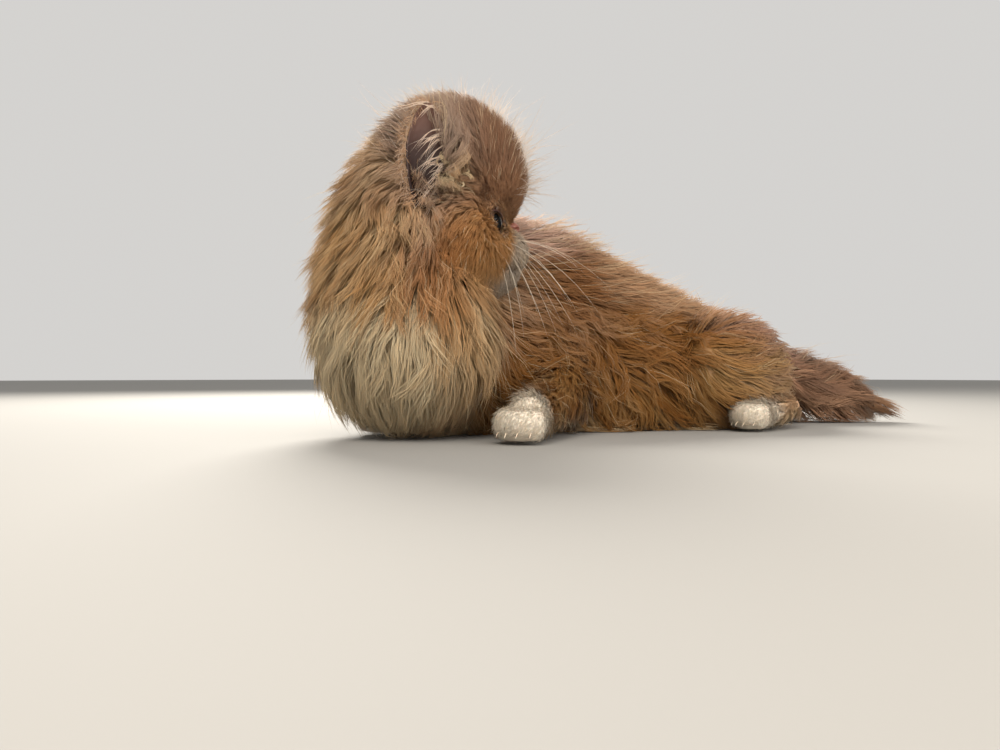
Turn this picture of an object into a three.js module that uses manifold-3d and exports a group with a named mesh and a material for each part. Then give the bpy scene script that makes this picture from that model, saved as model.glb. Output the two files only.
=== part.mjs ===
// A young longhaired cat, life size, lying with its front half raised and its head turned back over
// its left flank. The body lies along X with the rump at +X, and the cat's left side faces -Y.
// Lengths are in millimetres, +Z is up, and the floor is z = 0.
//
// Each part of the body is a form: a bare skin given by a formula, and a coat of a known depth over it.
// A core reaches part of the way through the coat, and flat tapered locks reach on to its tips.
// The whole cat is fused first, and thin cuts then part it into its named nodes.

import * as THREE from "three";
import { mergeVertices } from "three/addons/utils/BufferGeometryUtils.js";
import Module from "manifold-3d";

const wasm = await Module();
wasm.setup();

// Driving sizes
const PARTING = 0.3; // gap between neighbouring nodes
const CORE_SHARE = 0.45; // of the coat's depth that the cores fill
const COAT_REACH = 1.0; // of the coat's depth that the locks' tips reach
const ROOT_SINK = 5; // how deep a lock's root goes into its core
const SMOOTHING = 0.08; // the most that joining small facets moves a surface

// The head's own frame: its middle, and the way that the face looks
const HEAD_CENTRE = new THREE.Vector3(-130, -13, 158);
const HEAD_HEADING = THREE.MathUtils.degToRad(-31);
const EYE_RADIUS = 11;
const EYE_SPLAY = THREE.MathUtils.degToRad(32);

// The chest looks this way, which is to the left of the body's own line
const CHEST_HEADING = THREE.MathUtils.degToRad(205);

const UP = new THREE.Vector3(0, 0, 1);
const TAILWARD = new THREE.Vector3(1, 0, 0);

const vec = (x, y, z) => new THREE.Vector3(x, y, z);

// Seeded random numbers from 0 to 1, so that the coat is the same each time.
function randomFrom(seed) {
  let state = seed;
  return () => {
    state = (state * 1664525 + 1013904223) % 4294967296;
    return state / 4294967296;
  };
}

// Turns a three.js geometry into a solid.
function solidOf(geometry) {
  const bare = geometry.clone();
  bare.deleteAttribute("normal");
  bare.deleteAttribute("uv");
  const merged = mergeVertices(bare, 1e-5);
  const triVerts = new Uint32Array(merged.index.array);
  const vertProperties = merged.attributes.position.array;
  return new wasm.Manifold(new wasm.Mesh({ numProp: 3, vertProperties, triVerts }));
}

// A closed body from rings of points, with a pole at each end. The rings run anticlockwise from the end.
function wrap(firstPole, rings, lastPole) {
  const points = [firstPole, ...rings.flat(), lastPole];
  const around = rings[0].length;
  const last = points.length - 1;
  const index = [];
  for (let i = 0; i < around; i++) {
    const j = (i + 1) % around;
    index.push(0, 1 + j, 1 + i);
    for (let r = 0; r < rings.length - 1; r++) {
      const a = 1 + r * around;
      const b = a + around;
      index.push(a + i, a + j, b + i, a + j, b + j, b + i);
    }
    const end = last - around;
    index.push(last, end + i, end + j);
  }
  const geometry = new THREE.BufferGeometry();
  geometry.setAttribute("position", new THREE.Float32BufferAttribute(points.flatMap((p) => p.toArray()), 3));
  geometry.setIndex(index);
  const made = solidOf(geometry);
  if (made.volume() > 0) return made;
  geometry.setIndex(index.reverse());
  return solidOf(geometry);
}

// An ellipsoid with its own axes turned by a matrix.
function ellipsoid(centre, radii, turn = new THREE.Matrix4(), around = 20, along = 14) {
  const place = new THREE.Matrix4().makeTranslation(centre).multiply(turn).scale(radii);
  return solidOf(new THREE.SphereGeometry(1, around, along)).transform(place.elements);
}

// A round tube along a smooth curve, with its radius at each of its points and rounded ends.
function limb(points, radii, grown = 0, around = 10, steps = 8) {
  const curve = new THREE.CatmullRomCurve3(points);
  const girth = new THREE.CatmullRomCurve3(radii.map((r) => vec(r, 0, 0)));
  const rings = [];
  for (let i = 1; i < steps; i++) {
    const u = 0.5 - 0.5 * Math.cos((Math.PI * i) / steps);
    const radius = (girth.getPoint(u).x + grown) * roundEnds(u, 0.18);
    const ahead = curve.getTangent(u);
    const side = vec(0, 0, 1).cross(ahead).normalize();
    const over = ahead.clone().cross(side);
    rings.push(circle(curve.getPoint(u), side, over, radius, around));
  }
  const reach = (u, way) => curve.getPoint(u).addScaledVector(curve.getTangent(u), way * grown);
  return wrap(reach(0, -1), rings, reach(1, 1));
}

function circle(centre, side, over, radius, around) {
  return Array.from({ length: around }, (_, k) => {
    const angle = (2 * Math.PI * k) / around;
    return centre
      .clone()
      .addScaledVector(side, radius * Math.cos(angle))
      .addScaledVector(over, radius * Math.sin(angle));
  });
}

// 1 along a body's middle, falling in a quarter circle to 0 at each end.
function roundEnds(u, length) {
  const fromEnd = Math.min(u, 1 - u) / length;
  return fromEnd >= 1 ? 1 : Math.sqrt(Math.max(0, 1 - (1 - fromEnd) ** 2));
}

// A part of the body: its skin as a function of u, from one end to the other, and v, around it.
class Form {
  constructor(skin, coat, along, around) {
    this.skin = skin;
    this.coat = coat;
    this.along = along;
    this.around = around;
  }

  slopes(u, v) {
    const step = 0.01;
    const inside = THREE.MathUtils.clamp(u, 0.04, 0.96);
    const ahead = this.skin(inside + step, v).sub(this.skin(inside - step, v)).divideScalar(2 * step);
    const over = this.skin(inside, v + step).sub(this.skin(inside, v - step)).divideScalar(2 * step);
    return [ahead, over];
  }

  normal(u, v) {
    const [ahead, over] = this.slopes(u, v);
    const inside = THREE.MathUtils.clamp(u, 0.04, 0.96);
    const across = this.skin(inside, v).sub(this.skin(inside, v + 0.5));
    const normal = ahead.cross(over).normalize();
    return normal.dot(across) < 0 ? normal.negate() : normal;
  }

  // The point a share of the coat's depth above the skin, and a further length in millimetres.
  at(u, v, share, more = 0) {
    return this.skin(u, v).addScaledVector(this.normal(u, v), share * this.coat(u, v) + more);
  }

  // The solid that fills a share of the coat's depth.
  core(share, more = 0) {
    const rings = [];
    for (let i = 1; i < this.along; i++) {
      const even = i / this.along;
      const u = 0.5 * even + 0.5 * (0.5 - 0.5 * Math.cos(Math.PI * even));
      rings.push(Array.from({ length: this.around }, (_, k) => this.at(u, k / this.around, share, more)));
    }
    const pole = (u) => {
      const ring = Array.from({ length: 8 }, (_, k) => this.at(u, k / 8, share, more));
      return ring.reduce((sum, p) => sum.add(p), vec(0, 0, 0)).divideScalar(8);
    };
    return wrap(pole(0), rings, pole(1));
  }

  // Where a walk of a given length along the surface ends, in the direction of a vector.
  walk(u, v, direction, length) {
    const [ahead, over] = this.slopes(u, v);
    const normal = this.normal(u, v);
    const flat = direction.clone().addScaledVector(normal, -direction.dot(normal)).normalize();
    const aa = ahead.dot(ahead);
    const ao = ahead.dot(over);
    const oo = over.dot(over);
    const fa = flat.dot(ahead);
    const fo = flat.dot(over);
    const det = aa * oo - ao * ao;
    const du = ((fa * oo - fo * ao) / det) * length;
    const dv = ((fo * aa - fa * ao) / det) * length;
    return [THREE.MathUtils.clamp(u + du, 0.02, 0.98), v + dv];
  }
}

// A flat, tapered lock: it leaves a form's core at (u, v), lies along the coat and bends to one side.
function lock(form, u, v, lie, length, width, bend, reach = COAT_REACH) {
  const stops = [0, 0.33, 0.68, 1];
  const widths = [0.75, 1, 0.72];
  const centres = [];
  const normals = [];
  let [a, b] = [u, v];
  stops.forEach((stop, i) => {
    if (i > 0) {
      const here = form.skin(a, b);
      const normal = form.normal(a, b);
      const way = lie(here, normal);
      const side = normal.clone().cross(way).multiplyScalar(bend * (i - 1));
      [a, b] = form.walk(a, b, way.add(side), length * (stop - stops[i - 1]));
    }
    const sunk = i === 0 ? -ROOT_SINK : 0;
    const share = CORE_SHARE + (reach - CORE_SHARE) * [0, 0.45, 0.8, 1][i];
    centres.push(form.at(a, b, share, sunk));
    normals.push(form.normal(a, b));
  });
  const rings = widths.map((share, i) => {
    const ahead = centres[i + 1].clone().sub(centres[i]).normalize();
    const side = normals[i].clone().cross(ahead).normalize();
    const over = ahead.clone().cross(side).negate();
    const half = (width * share) / 2;
    const thick = 0.3 * width * share;
    return [
      centres[i].clone().addScaledVector(side, -half).addScaledVector(normals[i], -thick * 0.4),
      centres[i].clone().addScaledVector(side, half).addScaledVector(normals[i], -thick * 0.4),
      centres[i].clone().addScaledVector(over, -thick * 0.6),
    ];
  });
  return wrapLock(rings, centres[3]);
}

// A closed body of three-cornered rings that ends in a point.
function wrapLock(rings, tip) {
  const points = [...rings.flat(), tip];
  const last = points.length - 1;
  const index = [0, 2, 1];
  for (let i = 0; i < 3; i++) {
    const j = (i + 1) % 3;
    for (let r = 0; r < rings.length - 1; r++) {
      const a = 3 * r;
      const b = a + 3;
      index.push(a + i, a + j, b + i, a + j, b + j, b + i);
    }
    index.push(last - 3 + i, last - 3 + j, last);
  }
  const geometry = new THREE.BufferGeometry();
  geometry.setAttribute("position", new THREE.Float32BufferAttribute(points.flatMap((p) => p.toArray()), 3));
  geometry.setIndex(index);
  const made = solidOf(geometry);
  if (made.volume() > 0) return made;
  geometry.setIndex(index.reverse());
  return solidOf(geometry);
}

// Locks in staggered rows over a form, from u = from to u = to. keep(point) leaves bare places bare.
function coatOf(form, { from, to, rows, each, length, width, lie, seed, keep = () => true }) {
  const random = randomFrom(seed);
  const locks = [];
  for (let row = 0; row < rows; row++) {
    const u = from + ((to - from) * (row + 0.5)) / rows;
    const count = Math.round(each(u));
    for (let k = 0; k < count; k++) {
      const v = (k + 0.5 * (row % 2) + 0.3 * (random() - 0.5)) / count;
      const size = 0.85 + 0.3 * random();
      const bend = 0.5 * (random() - 0.5);
      const point = form.at(u, v, CORE_SHARE);
      if (!keep(point, form.normal(u, v))) continue;
      locks.push(lock(form, u, v, lie, length(point) * size, width(point) * size, bend));
    }
  }
  return locks;
}

// Head: a smooth union of rounded masses in the head's own frame, forward, left and up.
const FORWARD = vec(Math.cos(HEAD_HEADING), Math.sin(HEAD_HEADING), 0);
const LEFT = UP.clone().cross(FORWARD);
const HEAD_TURN = new THREE.Matrix4().makeBasis(FORWARD, LEFT, UP);

const inHead = (f, l, u) => vec(f, l, u).applyMatrix4(HEAD_TURN).add(HEAD_CENTRE);
const headOf = (p) => {
  const from = p.clone().sub(HEAD_CENTRE);
  return vec(from.dot(FORWARD), from.dot(LEFT), from.dot(UP));
};
const bothSides = (masses) => masses.flatMap(([c, r]) => [[c, r], [vec(c.x, -c.y, c.z), r]]);

const HEAD_MASSES = [
  [vec(-3, 0, 9), vec(39, 35, 36)], // cranium
  [vec(17, 0, 4), vec(21, 26, 22)], // forehead
  [vec(20, 0, -16), vec(13, 10, 10)], // bridge of the nose
  [vec(22, 0, -54), vec(13, 13, 9)], // chin
  [vec(-8, 0, -36), vec(30, 27, 26)], // throat
  ...bothSides([
    [vec(0, 20, -35), vec(25, 18, 23)], // cheek
    [vec(27, 8, -39), vec(14, 12, 12)], // whisker pad
  ]),
];
const BLEND = 3.2; // how softly the masses run together

function headRadius(direction) {
  const outside = (t) => {
    let sum = 0;
    for (const [centre, radii] of HEAD_MASSES) {
      const q = direction.clone().multiplyScalar(t).sub(centre).divide(radii);
      sum += Math.exp((-(q.length() - 1) * Math.min(radii.x, radii.y, radii.z)) / BLEND);
    }
    return sum < 1;
  };
  let near = 0;
  let far = 110;
  for (let i = 0; i < 20; i++) {
    const middle = (near + far) / 2;
    if (outside(middle)) far = middle;
    else near = middle;
  }
  return near;
}

// u runs from the face to the back of the head, and v from the left over the crown.
function headSkin(u, v) {
  const polar = Math.PI * u;
  const ring = 2 * Math.PI * v;
  const way = vec(Math.cos(polar), Math.sin(polar) * Math.cos(ring), Math.sin(polar) * Math.sin(ring));
  const p = way.multiplyScalar(headRadius(way));
  return inHead(p.x, p.y, p.z);
}

const FACE_COAT = 5;
const CROWN_COAT = 15;
const CHEEK_COAT = 19;

function headCoat(u, v) {
  const polar = Math.PI * u;
  const ring = 2 * Math.PI * v;
  const forward = Math.cos(polar);
  const up = Math.sin(polar) * Math.sin(ring);
  const back = THREE.MathUtils.smoothstep(-forward, -0.75, 0.25);
  const deep = THREE.MathUtils.lerp(CHEEK_COAT, CROWN_COAT, THREE.MathUtils.smoothstep(up, -0.3, 0.6));
  return THREE.MathUtils.lerp(FACE_COAT, deep, back);
}

const head = new Form(headSkin, headCoat, 20, 26);

// Torso: one loft along the spine from the rump to the chest.
const SPINE = new THREE.CatmullRomCurve3([
  vec(156, -30, 0),
  vec(120, -22, 0),
  vec(70, -8, 0),
  vec(15, 8, 0),
  vec(-40, 24, 0),
  vec(-85, 32, 0),
  vec(-125, 26, 0),
  vec(-155, 10, 0),
]);
// Half width, top and bottom of the bare body at each point of the spine
const GIRTH = new THREE.CatmullRomCurve3([
  vec(26, 58, 8),
  vec(42, 69, -4),
  vec(50, 88, -12),
  vec(50, 113, -14),
  vec(46, 136, -12),
  vec(42, 140, -8),
  vec(38, 126, 0),
  vec(28, 92, 12),
]);

function torsoSkin(u, v) {
  const centre = SPINE.getPoint(u);
  const girth = GIRTH.getPoint(u);
  const side = UP.clone().cross(SPINE.getTangent(u)).normalize();
  const ends = roundEnds(u, 0.1);
  const angle = 2 * Math.PI * v;
  const middle = (girth.y + girth.z) / 2;
  const half = (girth.y - girth.z) / 2;
  const narrowing = 1 - 0.24 * Math.sin(angle);
  return centre
    .addScaledVector(side, girth.x * narrowing * ends * Math.cos(angle))
    .add(vec(0, 0, middle + half * ends * Math.sin(angle)));
}

const BACK_COAT = 20;
const torso = new Form(torsoSkin, () => BACK_COAT, 16, 16);

// Neck and bib: the ruff's fur hangs from the throat and cheeks down over the chest.
const RUFF_LINE = new THREE.CatmullRomCurve3([
  vec(-154, 2, 160),
  vec(-155, 2, 130),
  vec(-158, 3, 98),
  vec(-161, 0, 66),
  vec(-162, -3, 30),
]);
const RUFF_GIRTH = new THREE.CatmullRomCurve3([
  vec(26, 14, 0),
  vec(33, 20, 0),
  vec(37, 25, 0),
  vec(36, 27, 0),
  vec(25, 26, 0),
]);
const CHEST_WAY = vec(Math.cos(CHEST_HEADING), Math.sin(CHEST_HEADING), 0);
const CHEST_SIDE = UP.clone().cross(CHEST_WAY);

function ruffSkin(u, v) {
  const angle = 2 * Math.PI * v;
  const radius = RUFF_GIRTH.getPoint(u).x * roundEnds(u, 0.14);
  return RUFF_LINE.getPoint(u)
    .addScaledVector(CHEST_WAY, radius * 0.9 * Math.cos(angle))
    .addScaledVector(CHEST_SIDE, radius * 1.1 * Math.sin(angle));
}

const ruff = new Form(ruffSkin, (u) => RUFF_GIRTH.getPoint(u).y, 10, 14);

// Tail: laid on the floor, plumed, and bent to the cat's left.
const TAIL_LINE = new THREE.CatmullRomCurve3([
  vec(136, -26, 46),
  vec(168, -34, 36),
  vec(204, -56, 27),
  vec(238, -80, 18),
]);
const TAIL_GIRTH = new THREE.CatmullRomCurve3([vec(12, 20, 0), vec(10, 23, 0), vec(8, 19, 0), vec(6, 11, 0)]);

function tailSkin(u, v) {
  const ahead = TAIL_LINE.getTangent(u);
  const side = UP.clone().cross(ahead).normalize();
  const over = ahead.clone().cross(side);
  const angle = 2 * Math.PI * v;
  const radius = TAIL_GIRTH.getPoint(u).x * roundEnds(u, 0.12);
  return TAIL_LINE.getPoint(u)
    .addScaledVector(side, radius * Math.cos(angle))
    .addScaledVector(over, radius * Math.sin(angle));
}
const tail = new Form(tailSkin, (u) => TAIL_GIRTH.getPoint(u).y, 7, 8);

// Haunches: each thigh is an oval mass on the torso's side.
function thighForm(centre, yaw, side) {
  const radii = vec(48, 21, 36);
  const turn = new THREE.Matrix4().makeRotationZ(yaw);
  const skin = (u, v) => {
    const polar = Math.PI * u;
    const ring = 2 * Math.PI * v;
    const p = vec(Math.cos(polar), Math.sin(polar) * Math.cos(ring) * side, Math.sin(polar) * Math.sin(ring));
    return p.multiply(radii).applyMatrix4(turn).add(centre);
  };
  return new Form(skin, () => 17, 9, 12);
}
const thighLeft = thighForm(vec(86, -56, 40), 0.08, 1);
const thighRight = thighForm(vec(88, 34, 38), -0.3, -1);

// The lower length of each leg, laid on the floor from the joint to the paw: radius and coat at each point
const LEGS = {
  hind_left: {
    path: [vec(134, -78, 17), vec(100, -88, 13), vec(62, -92, 12)],
    radii: [9, 8, 10],
    coats: [6, 5, 4],
  },
  hind_right: {
    path: [vec(136, 40, 17), vec(102, 60, 13), vec(64, 70, 12)],
    radii: [9, 8, 10],
    coats: [6, 5, 4],
  },
  fore_left: {
    path: [vec(-48, -20, 32), vec(-86, -50, 20), vec(-130, -78, 15)],
    radii: [14, 11, 12],
    coats: [16, 10, 3],
  },
  fore_right: {
    path: [vec(-82, 68, 32), vec(-122, 56, 20), vec(-166, 26, 15)],
    radii: [14, 11, 12],
    coats: [16, 10, 3],
  },
};

function legForm({ path, radii, coats }) {
  const line = new THREE.CatmullRomCurve3(path);
  const girth = new THREE.CatmullRomCurve3(radii.map((r, i) => vec(r, coats[i], 0)));
  const skin = (u, v) => {
    const side = UP.clone().cross(line.getTangent(u)).normalize();
    const over = line.getTangent(u).cross(side);
    const radius = girth.getPoint(u).x * roundEnds(u, 0.16);
    const angle = 2 * Math.PI * v;
    return line
      .getPoint(u)
      .addScaledVector(side, radius * Math.cos(angle))
      .addScaledVector(over, radius * Math.sin(angle));
  };
  return new Form(skin, (u) => girth.getPoint(u).y, 6, 8);
}

const legForms = Object.fromEntries(Object.entries(LEGS).map(([name, leg]) => [name, legForm(leg)]));

const TOE_COAT = 2;

// Four toes side by side at the end of a leg.
function toesOf(name, grown) {
  const { path, radii } = LEGS[name];
  const end = path[2];
  const ahead = end.clone().sub(path[1]).setZ(0).normalize();
  const side = UP.clone().cross(ahead);
  const spread = radii[2] * 0.56;
  return [-1.5, -0.5, 0.5, 1.5].map((k) => {
    const reach = Math.abs(k) > 1 ? -1 : 3;
    const centre = end.clone().addScaledVector(side, k * spread).addScaledVector(ahead, reach);
    return ellipsoid(centre.setZ(11), vec(10, 5.6, 10).addScalar(grown), turnTo(ahead), 7, 5);
  });
}

function turnTo(ahead) {
  const side = UP.clone().cross(ahead).normalize();
  return new THREE.Matrix4().makeBasis(ahead, side, ahead.clone().cross(side));
}

// Ears: a tapered shell with a cup cut into its open side.
const EAR_BASE = vec(-18, 34, -15);
const EAR_TIP = vec(-15, 41, 45);
const EAR_OPENS = vec(0.42, 0.9, 0.1).normalize();
const EAR_WIDTH = 18.5;

function earShell(side, scale, shift, grown = 0) {
  const mirrored = (p) => vec(p.x, p.y * side, p.z);
  const base = mirrored(EAR_BASE);
  const tip = mirrored(EAR_TIP);
  const opens = mirrored(EAR_OPENS);
  const axis = tip.clone().sub(base);
  const length = axis.length();
  const up = axis.clone().normalize();
  const out = opens.clone().addScaledVector(up, -opens.dot(up)).normalize();
  const across = up.clone().cross(out);
  const steps = 8;
  const rings = [];
  for (let i = 1; i < steps; i++) {
    const t = i / steps;
    const swell = Math.sin(Math.PI * Math.min(0.5, 0.16 + 0.55 * t));
    const taper = Math.pow(swell, 0.8) * Math.pow(1 - t ** 2.2, 0.7);
    const half = EAR_WIDTH * taper * scale + grown;
    const middle = base.clone().addScaledVector(up, length * t * scale).addScaledVector(out, shift);
    const ring = circle(middle, across, out, 1, 12).map((p) => {
      const from = p.sub(middle);
      const wide = from.dot(across) * half;
      const deep = from.dot(out) * (half * 0.52 + grown * 0.4);
      const cupped = 0.012 * wide * wide;
      return middle.clone().addScaledVector(across, wide).addScaledVector(out, deep + cupped);
    });
    rings.push(ring.map((p) => inHead(p.x, p.y, p.z)));
  }
  const first = base.clone().addScaledVector(out, shift).addScaledVector(up, -grown);
  const last = base.clone().addScaledVector(out, shift).addScaledVector(up, length * scale + grown);
  return wrap(inHead(first.x, first.y, first.z), rings, inHead(last.x, last.y, last.z));
}

// Eyes, lids, nose and mouth
const EYE_PLACE = vec(16, 17.5, -24);
const eyeCentre = (side) => inHead(EYE_PLACE.x, EYE_PLACE.y * side, EYE_PLACE.z);
const eyeGaze = (side) => {
  const gaze = vec(Math.cos(EYE_SPLAY), Math.sin(EYE_SPLAY) * side, 0);
  return gaze.applyMatrix4(HEAD_TURN).normalize();
};

function eyeball(side, grown = 0) {
  const radius = EYE_RADIUS + grown;
  return ellipsoid(eyeCentre(side), vec(radius, radius, radius), turnTo(eyeGaze(side)), 14, 8);
}

// The opening between the lids: an oval bored along the gaze, with its outer corner higher.
function eyeOpening(side) {
  const slant = new THREE.Matrix4().makeRotationX(0.3 * side);
  const turn = turnTo(eyeGaze(side)).multiply(slant);
  const ahead = eyeCentre(side).addScaledVector(eyeGaze(side), EYE_RADIUS + 3);
  return ellipsoid(ahead, vec(13, 9, 7.6), turn, 12, 6);
}

const NOSE_PLACE = vec(33, 0, -23.5);
const noseBall = (grown = 0) =>
  ellipsoid(inHead(NOSE_PLACE.x, 0, NOSE_PLACE.z), vec(6, 6.6, 4.4).addScalar(grown), HEAD_TURN, 12, 8);
const nostril = (side) =>
  ellipsoid(inHead(NOSE_PLACE.x + 5.4, 3.2 * side, NOSE_PLACE.z - 0.8), vec(2.4, 1.7, 1.2), HEAD_TURN, 6, 4);

// The line of the mouth: a cleft under the nose that parts into two curves round the whisker pads.
function mouthLine() {
  const line = [[46, 0, -30], [46, 0, -39], [43, 0, -46]].map((p) => inHead(...p));
  const cleft = limb(line, [1.3, 1.3, 1.3], 0, 6, 5);
  const curves = [1, -1].map((side) =>
    limb(
      [
        [43, 0, -46],
        [39, 9 * side, -51],
        [30, 17 * side, -52],
        [18, 23 * side, -49],
      ].map((p) => inHead(...p)),
      [1.5, 1.8, 1.8, 1.2],
      0,
      6,
      8,
    ),
  );
  return [cleft, ...curves];
}

// How the coat lies: a direction for each part of the body.
const DOWN = vec(0, 0, -1);

function torsoLie(point, normal) {
  const side = 1 - Math.abs(normal.z);
  return TAILWARD.clone().addScaledVector(DOWN, 0.2 + 0.75 * side);
}

function ruffLie(point, normal) {
  return DOWN.clone().addScaledVector(normal, 0.1).addScaledVector(CHEST_WAY, 0.15);
}

function headLie(point) {
  const local = headOf(point);
  const away = local.clone().sub(vec(40, 0, -26));
  const fall = THREE.MathUtils.smoothstep(-local.z, -14, 40);
  const way = away.normalize().add(vec(0, 0, -1.1 * fall));
  return way.applyMatrix4(HEAD_TURN);
}

const tailLie = (point) => {
  const along = THREE.MathUtils.clamp((point.x - 136) / 102, 0, 1);
  return TAIL_LINE.getTangent(along).addScaledVector(DOWN, 0.15);
};

const legLie = () => vec(-0.6, -0.5, -0.6);
const thighLie = () => TAILWARD.clone().addScaledVector(DOWN, 0.7);

const locks = [
  ...coatOf(torso, {
    from: 0.0,
    to: 0.9,
    rows: 8,
    each: () => 7.5,
    length: () => 60,
    width: () => 30,
    lie: torsoLie,
    seed: 11,
    keep: (p) => p.z > 30,
  }),
  ...coatOf(ruff, {
    from: 0.12,
    to: 0.84,
    rows: 4,
    each: () => 10,
    length: (p) => Math.min(62, p.z - 6),
    width: () => 26,
    lie: ruffLie,
    seed: 23,
    keep: (p, n) => p.z > 22 && n.dot(CHEST_WAY) > -0.35,
  }),
  ...coatOf(head, {
    from: 0.32,
    to: 0.86,
    rows: 4,
    each: (u) => 1 + 8 * Math.sin(Math.PI * u),
    length: (p) => (headOf(p).z < -10 ? 36 : 30),
    width: () => 20,
    lie: headLie,
    seed: 37,
    keep: (p) => {
      const local = headOf(p);
      const nearEar = Math.abs(local.x + 14) < 19 && Math.abs(local.y) > 26 && local.z > -22;
      return !nearEar;
    },
  }),
  ...coatOf(tail, {
    from: 0.12,
    to: 0.86,
    rows: 4,
    each: () => 4,
    length: () => 48,
    width: () => 22,
    lie: tailLie,
    seed: 41,
  }),
  ...[thighLeft, thighRight].flatMap((thigh, i) =>
    coatOf(thigh, {
      from: 0.2,
      to: 0.85,
      rows: 3,
      each: (u) => 1 + 5 * Math.sin(Math.PI * u),
      length: () => 48,
      width: () => 29,
      lie: thighLie,
      seed: 53 + i,
      keep: (p, n) => p.z > 18 && (i === 0 ? n.y < 0.1 : n.y > -0.1),
    }),
  ),
  ...["fore_left", "fore_right"].flatMap((name, i) =>
    coatOf(legForms[name], {
      from: 0.1,
      to: 0.7,
      rows: 2,
      each: () => 5,
      length: () => 36,
      width: () => 18,
      lie: legLie,
      seed: 61 + i,
      keep: (p, n) => n.z > -0.3,
    }),
  ),
];

// Fusing and parting
const fuse = (pieces) => wasm.Manifold.union(pieces);

const legNames = Object.keys(LEGS);
const thighs = { hind_left: thighLeft, hind_right: thighRight };

// A closed shape a little larger than one leg and its coat, which parts it from the body.
function legCutter(name, grown) {
  const upper = thighs[name] ? [thighs[name].core(1.06, grown)] : [];
  return fuse([...upper, legForms[name].core(1.06, 1 + grown), ...toesOf(name, TOE_COAT + 1 + grown)]);
}

const headCore = head.core(CORE_SHARE);
const lids = [1, -1].map((side) => eyeball(side, 2.2).subtract(eyeOpening(side)));

let whole = fuse([
  headCore,
  ...lids,
  torso.core(CORE_SHARE),
  ruff.core(CORE_SHARE),
  tail.core(CORE_SHARE),
  thighLeft.core(CORE_SHARE),
  thighRight.core(CORE_SHARE),
  ...legNames.flatMap((name) => [legForms[name].core(CORE_SHARE), ...toesOf(name, 0)]),
  ...locks,
]);

const ears = [1, -1].map((side) => earShell(side, 1, 0).subtract(earShell(side, 0.86, 5.5)));
const carved = [
  ...[1, -1].flatMap((side) => [
    earShell(side, 1, 0, PARTING + 0.6),
    eyeball(side, PARTING),
    eyeOpening(side),
  ]),
  noseBall(PARTING),
  ...mouthLine(),
];
whole = whole.trimByPlane([0, 0, 1], 0).subtract(fuse(carved));

function largest(solid) {
  const pieces = solid.decompose();
  return pieces.reduce((best, piece) => (piece.volume() > best.volume() ? piece : best));
}

const solids = {};
for (const name of legNames) {
  solids["leg_" + name] = largest(whole.intersect(legCutter(name, 0)));
  whole = whole.subtract(legCutter(name, PARTING));
}

// Parts what is left with a thin plane cut: what lies ahead of the plane, and what lies behind it.
function partAt(solid, point, normal) {
  const n = normal.clone().normalize();
  const offset = point.dot(n);
  const ahead = solid.trimByPlane(n.toArray(), offset + PARTING / 2);
  const behind = solid.trimByPlane(n.clone().negate().toArray(), -offset + PARTING / 2);
  return [ahead, behind];
}

const headCutter = (grown) =>
  ellipsoid(inHead(-2, 0, 0), vec(66, 61, 67).addScalar(grown), HEAD_TURN, 20, 12);
const chestPlane = CHEST_WAY.clone().addScaledVector(UP, 0.3);
const [tailPart, front] = partAt(whole, vec(152, -30, 40), vec(1, -0.35, -0.1));
const headPart = front.intersect(headCutter(0));
const [neckPart, torsoPart] = partAt(front.subtract(headCutter(PARTING)), vec(-122, -4, 90), chestPlane);

solids.tail = largest(tailPart);
solids.head = largest(headPart);
solids.neck = largest(neckPart);
solids.torso = largest(torsoPart);
solids.eye_left = eyeball(1);
solids.eye_right = eyeball(-1);
solids.nose = largest(noseBall().subtract(fuse([nostril(1), nostril(-1)])));
const headSkinGrown = head.core(CORE_SHARE, PARTING);
solids.ear_left = largest(ears[0].subtract(headSkinGrown));
solids.ear_right = largest(ears[1].subtract(headSkinGrown));

// Colours as the photograph shows them, under soft light
const FINISHES = {
  ginger: { color: 0xb98a56, roughness: 0.9, metalness: 0 },
  cream: { color: 0xd9c49a, roughness: 0.9, metalness: 0 },
  dusky: { color: 0xb08a70, roughness: 0.9, metalness: 0 },
  white: { color: 0xe2dccf, roughness: 0.9, metalness: 0 },
  earSkin: { color: 0x8f6a62, roughness: 0.7, metalness: 0 },
  noseSkin: { color: 0x9b5a4e, roughness: 0.5, metalness: 0 },
  eye: { color: 0x5a3c18, roughness: 0.1, metalness: 0 },
};
const NODE_FINISH = {
  head: "ginger",
  neck: "cream",
  torso: "ginger",
  tail: "dusky",
  leg_hind_left: "ginger",
  leg_hind_right: "ginger",
  leg_fore_left: "white",
  leg_fore_right: "white",
  ear_left: "earSkin",
  ear_right: "earSkin",
  eye_left: "eye",
  eye_right: "eye",
  nose: "noseSkin",
};

function meshOf(name, solid) {
  const mesh = solid.simplify(SMOOTHING).getMesh();
  const geometry = new THREE.BufferGeometry();
  geometry.setAttribute("position", new THREE.BufferAttribute(new Float32Array(mesh.vertProperties), 3));
  geometry.setIndex(new THREE.BufferAttribute(new Uint32Array(mesh.triVerts), 1));
  geometry.computeVertexNormals();
  const made = new THREE.Mesh(geometry, new THREE.MeshStandardMaterial(FINISHES[NODE_FINISH[name]]));
  made.name = name;
  return made;
}

const cat = new THREE.Group();
for (const [name, solid] of Object.entries(solids)) cat.add(meshOf(name, solid));

export default cat;
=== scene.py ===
"""A young longhaired cat, lying with its head turned back over its flank.

One skin lies under a coat of some hundred thousand flat tapered tufts. The skin and the coat take
their sizes from the same forms as the solid model, in millimetres, and become metres in the meshes.
"""

from __future__ import annotations

import logging
import math
from collections.abc import Callable, Sequence
from dataclasses import astuple, dataclass, field, replace
from enum import Enum

import bmesh
import bpy
import numpy as np
from mathutils import Matrix, Vector
from mathutils.bvhtree import BVHTree
from mathutils.kdtree import KDTree


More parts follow.
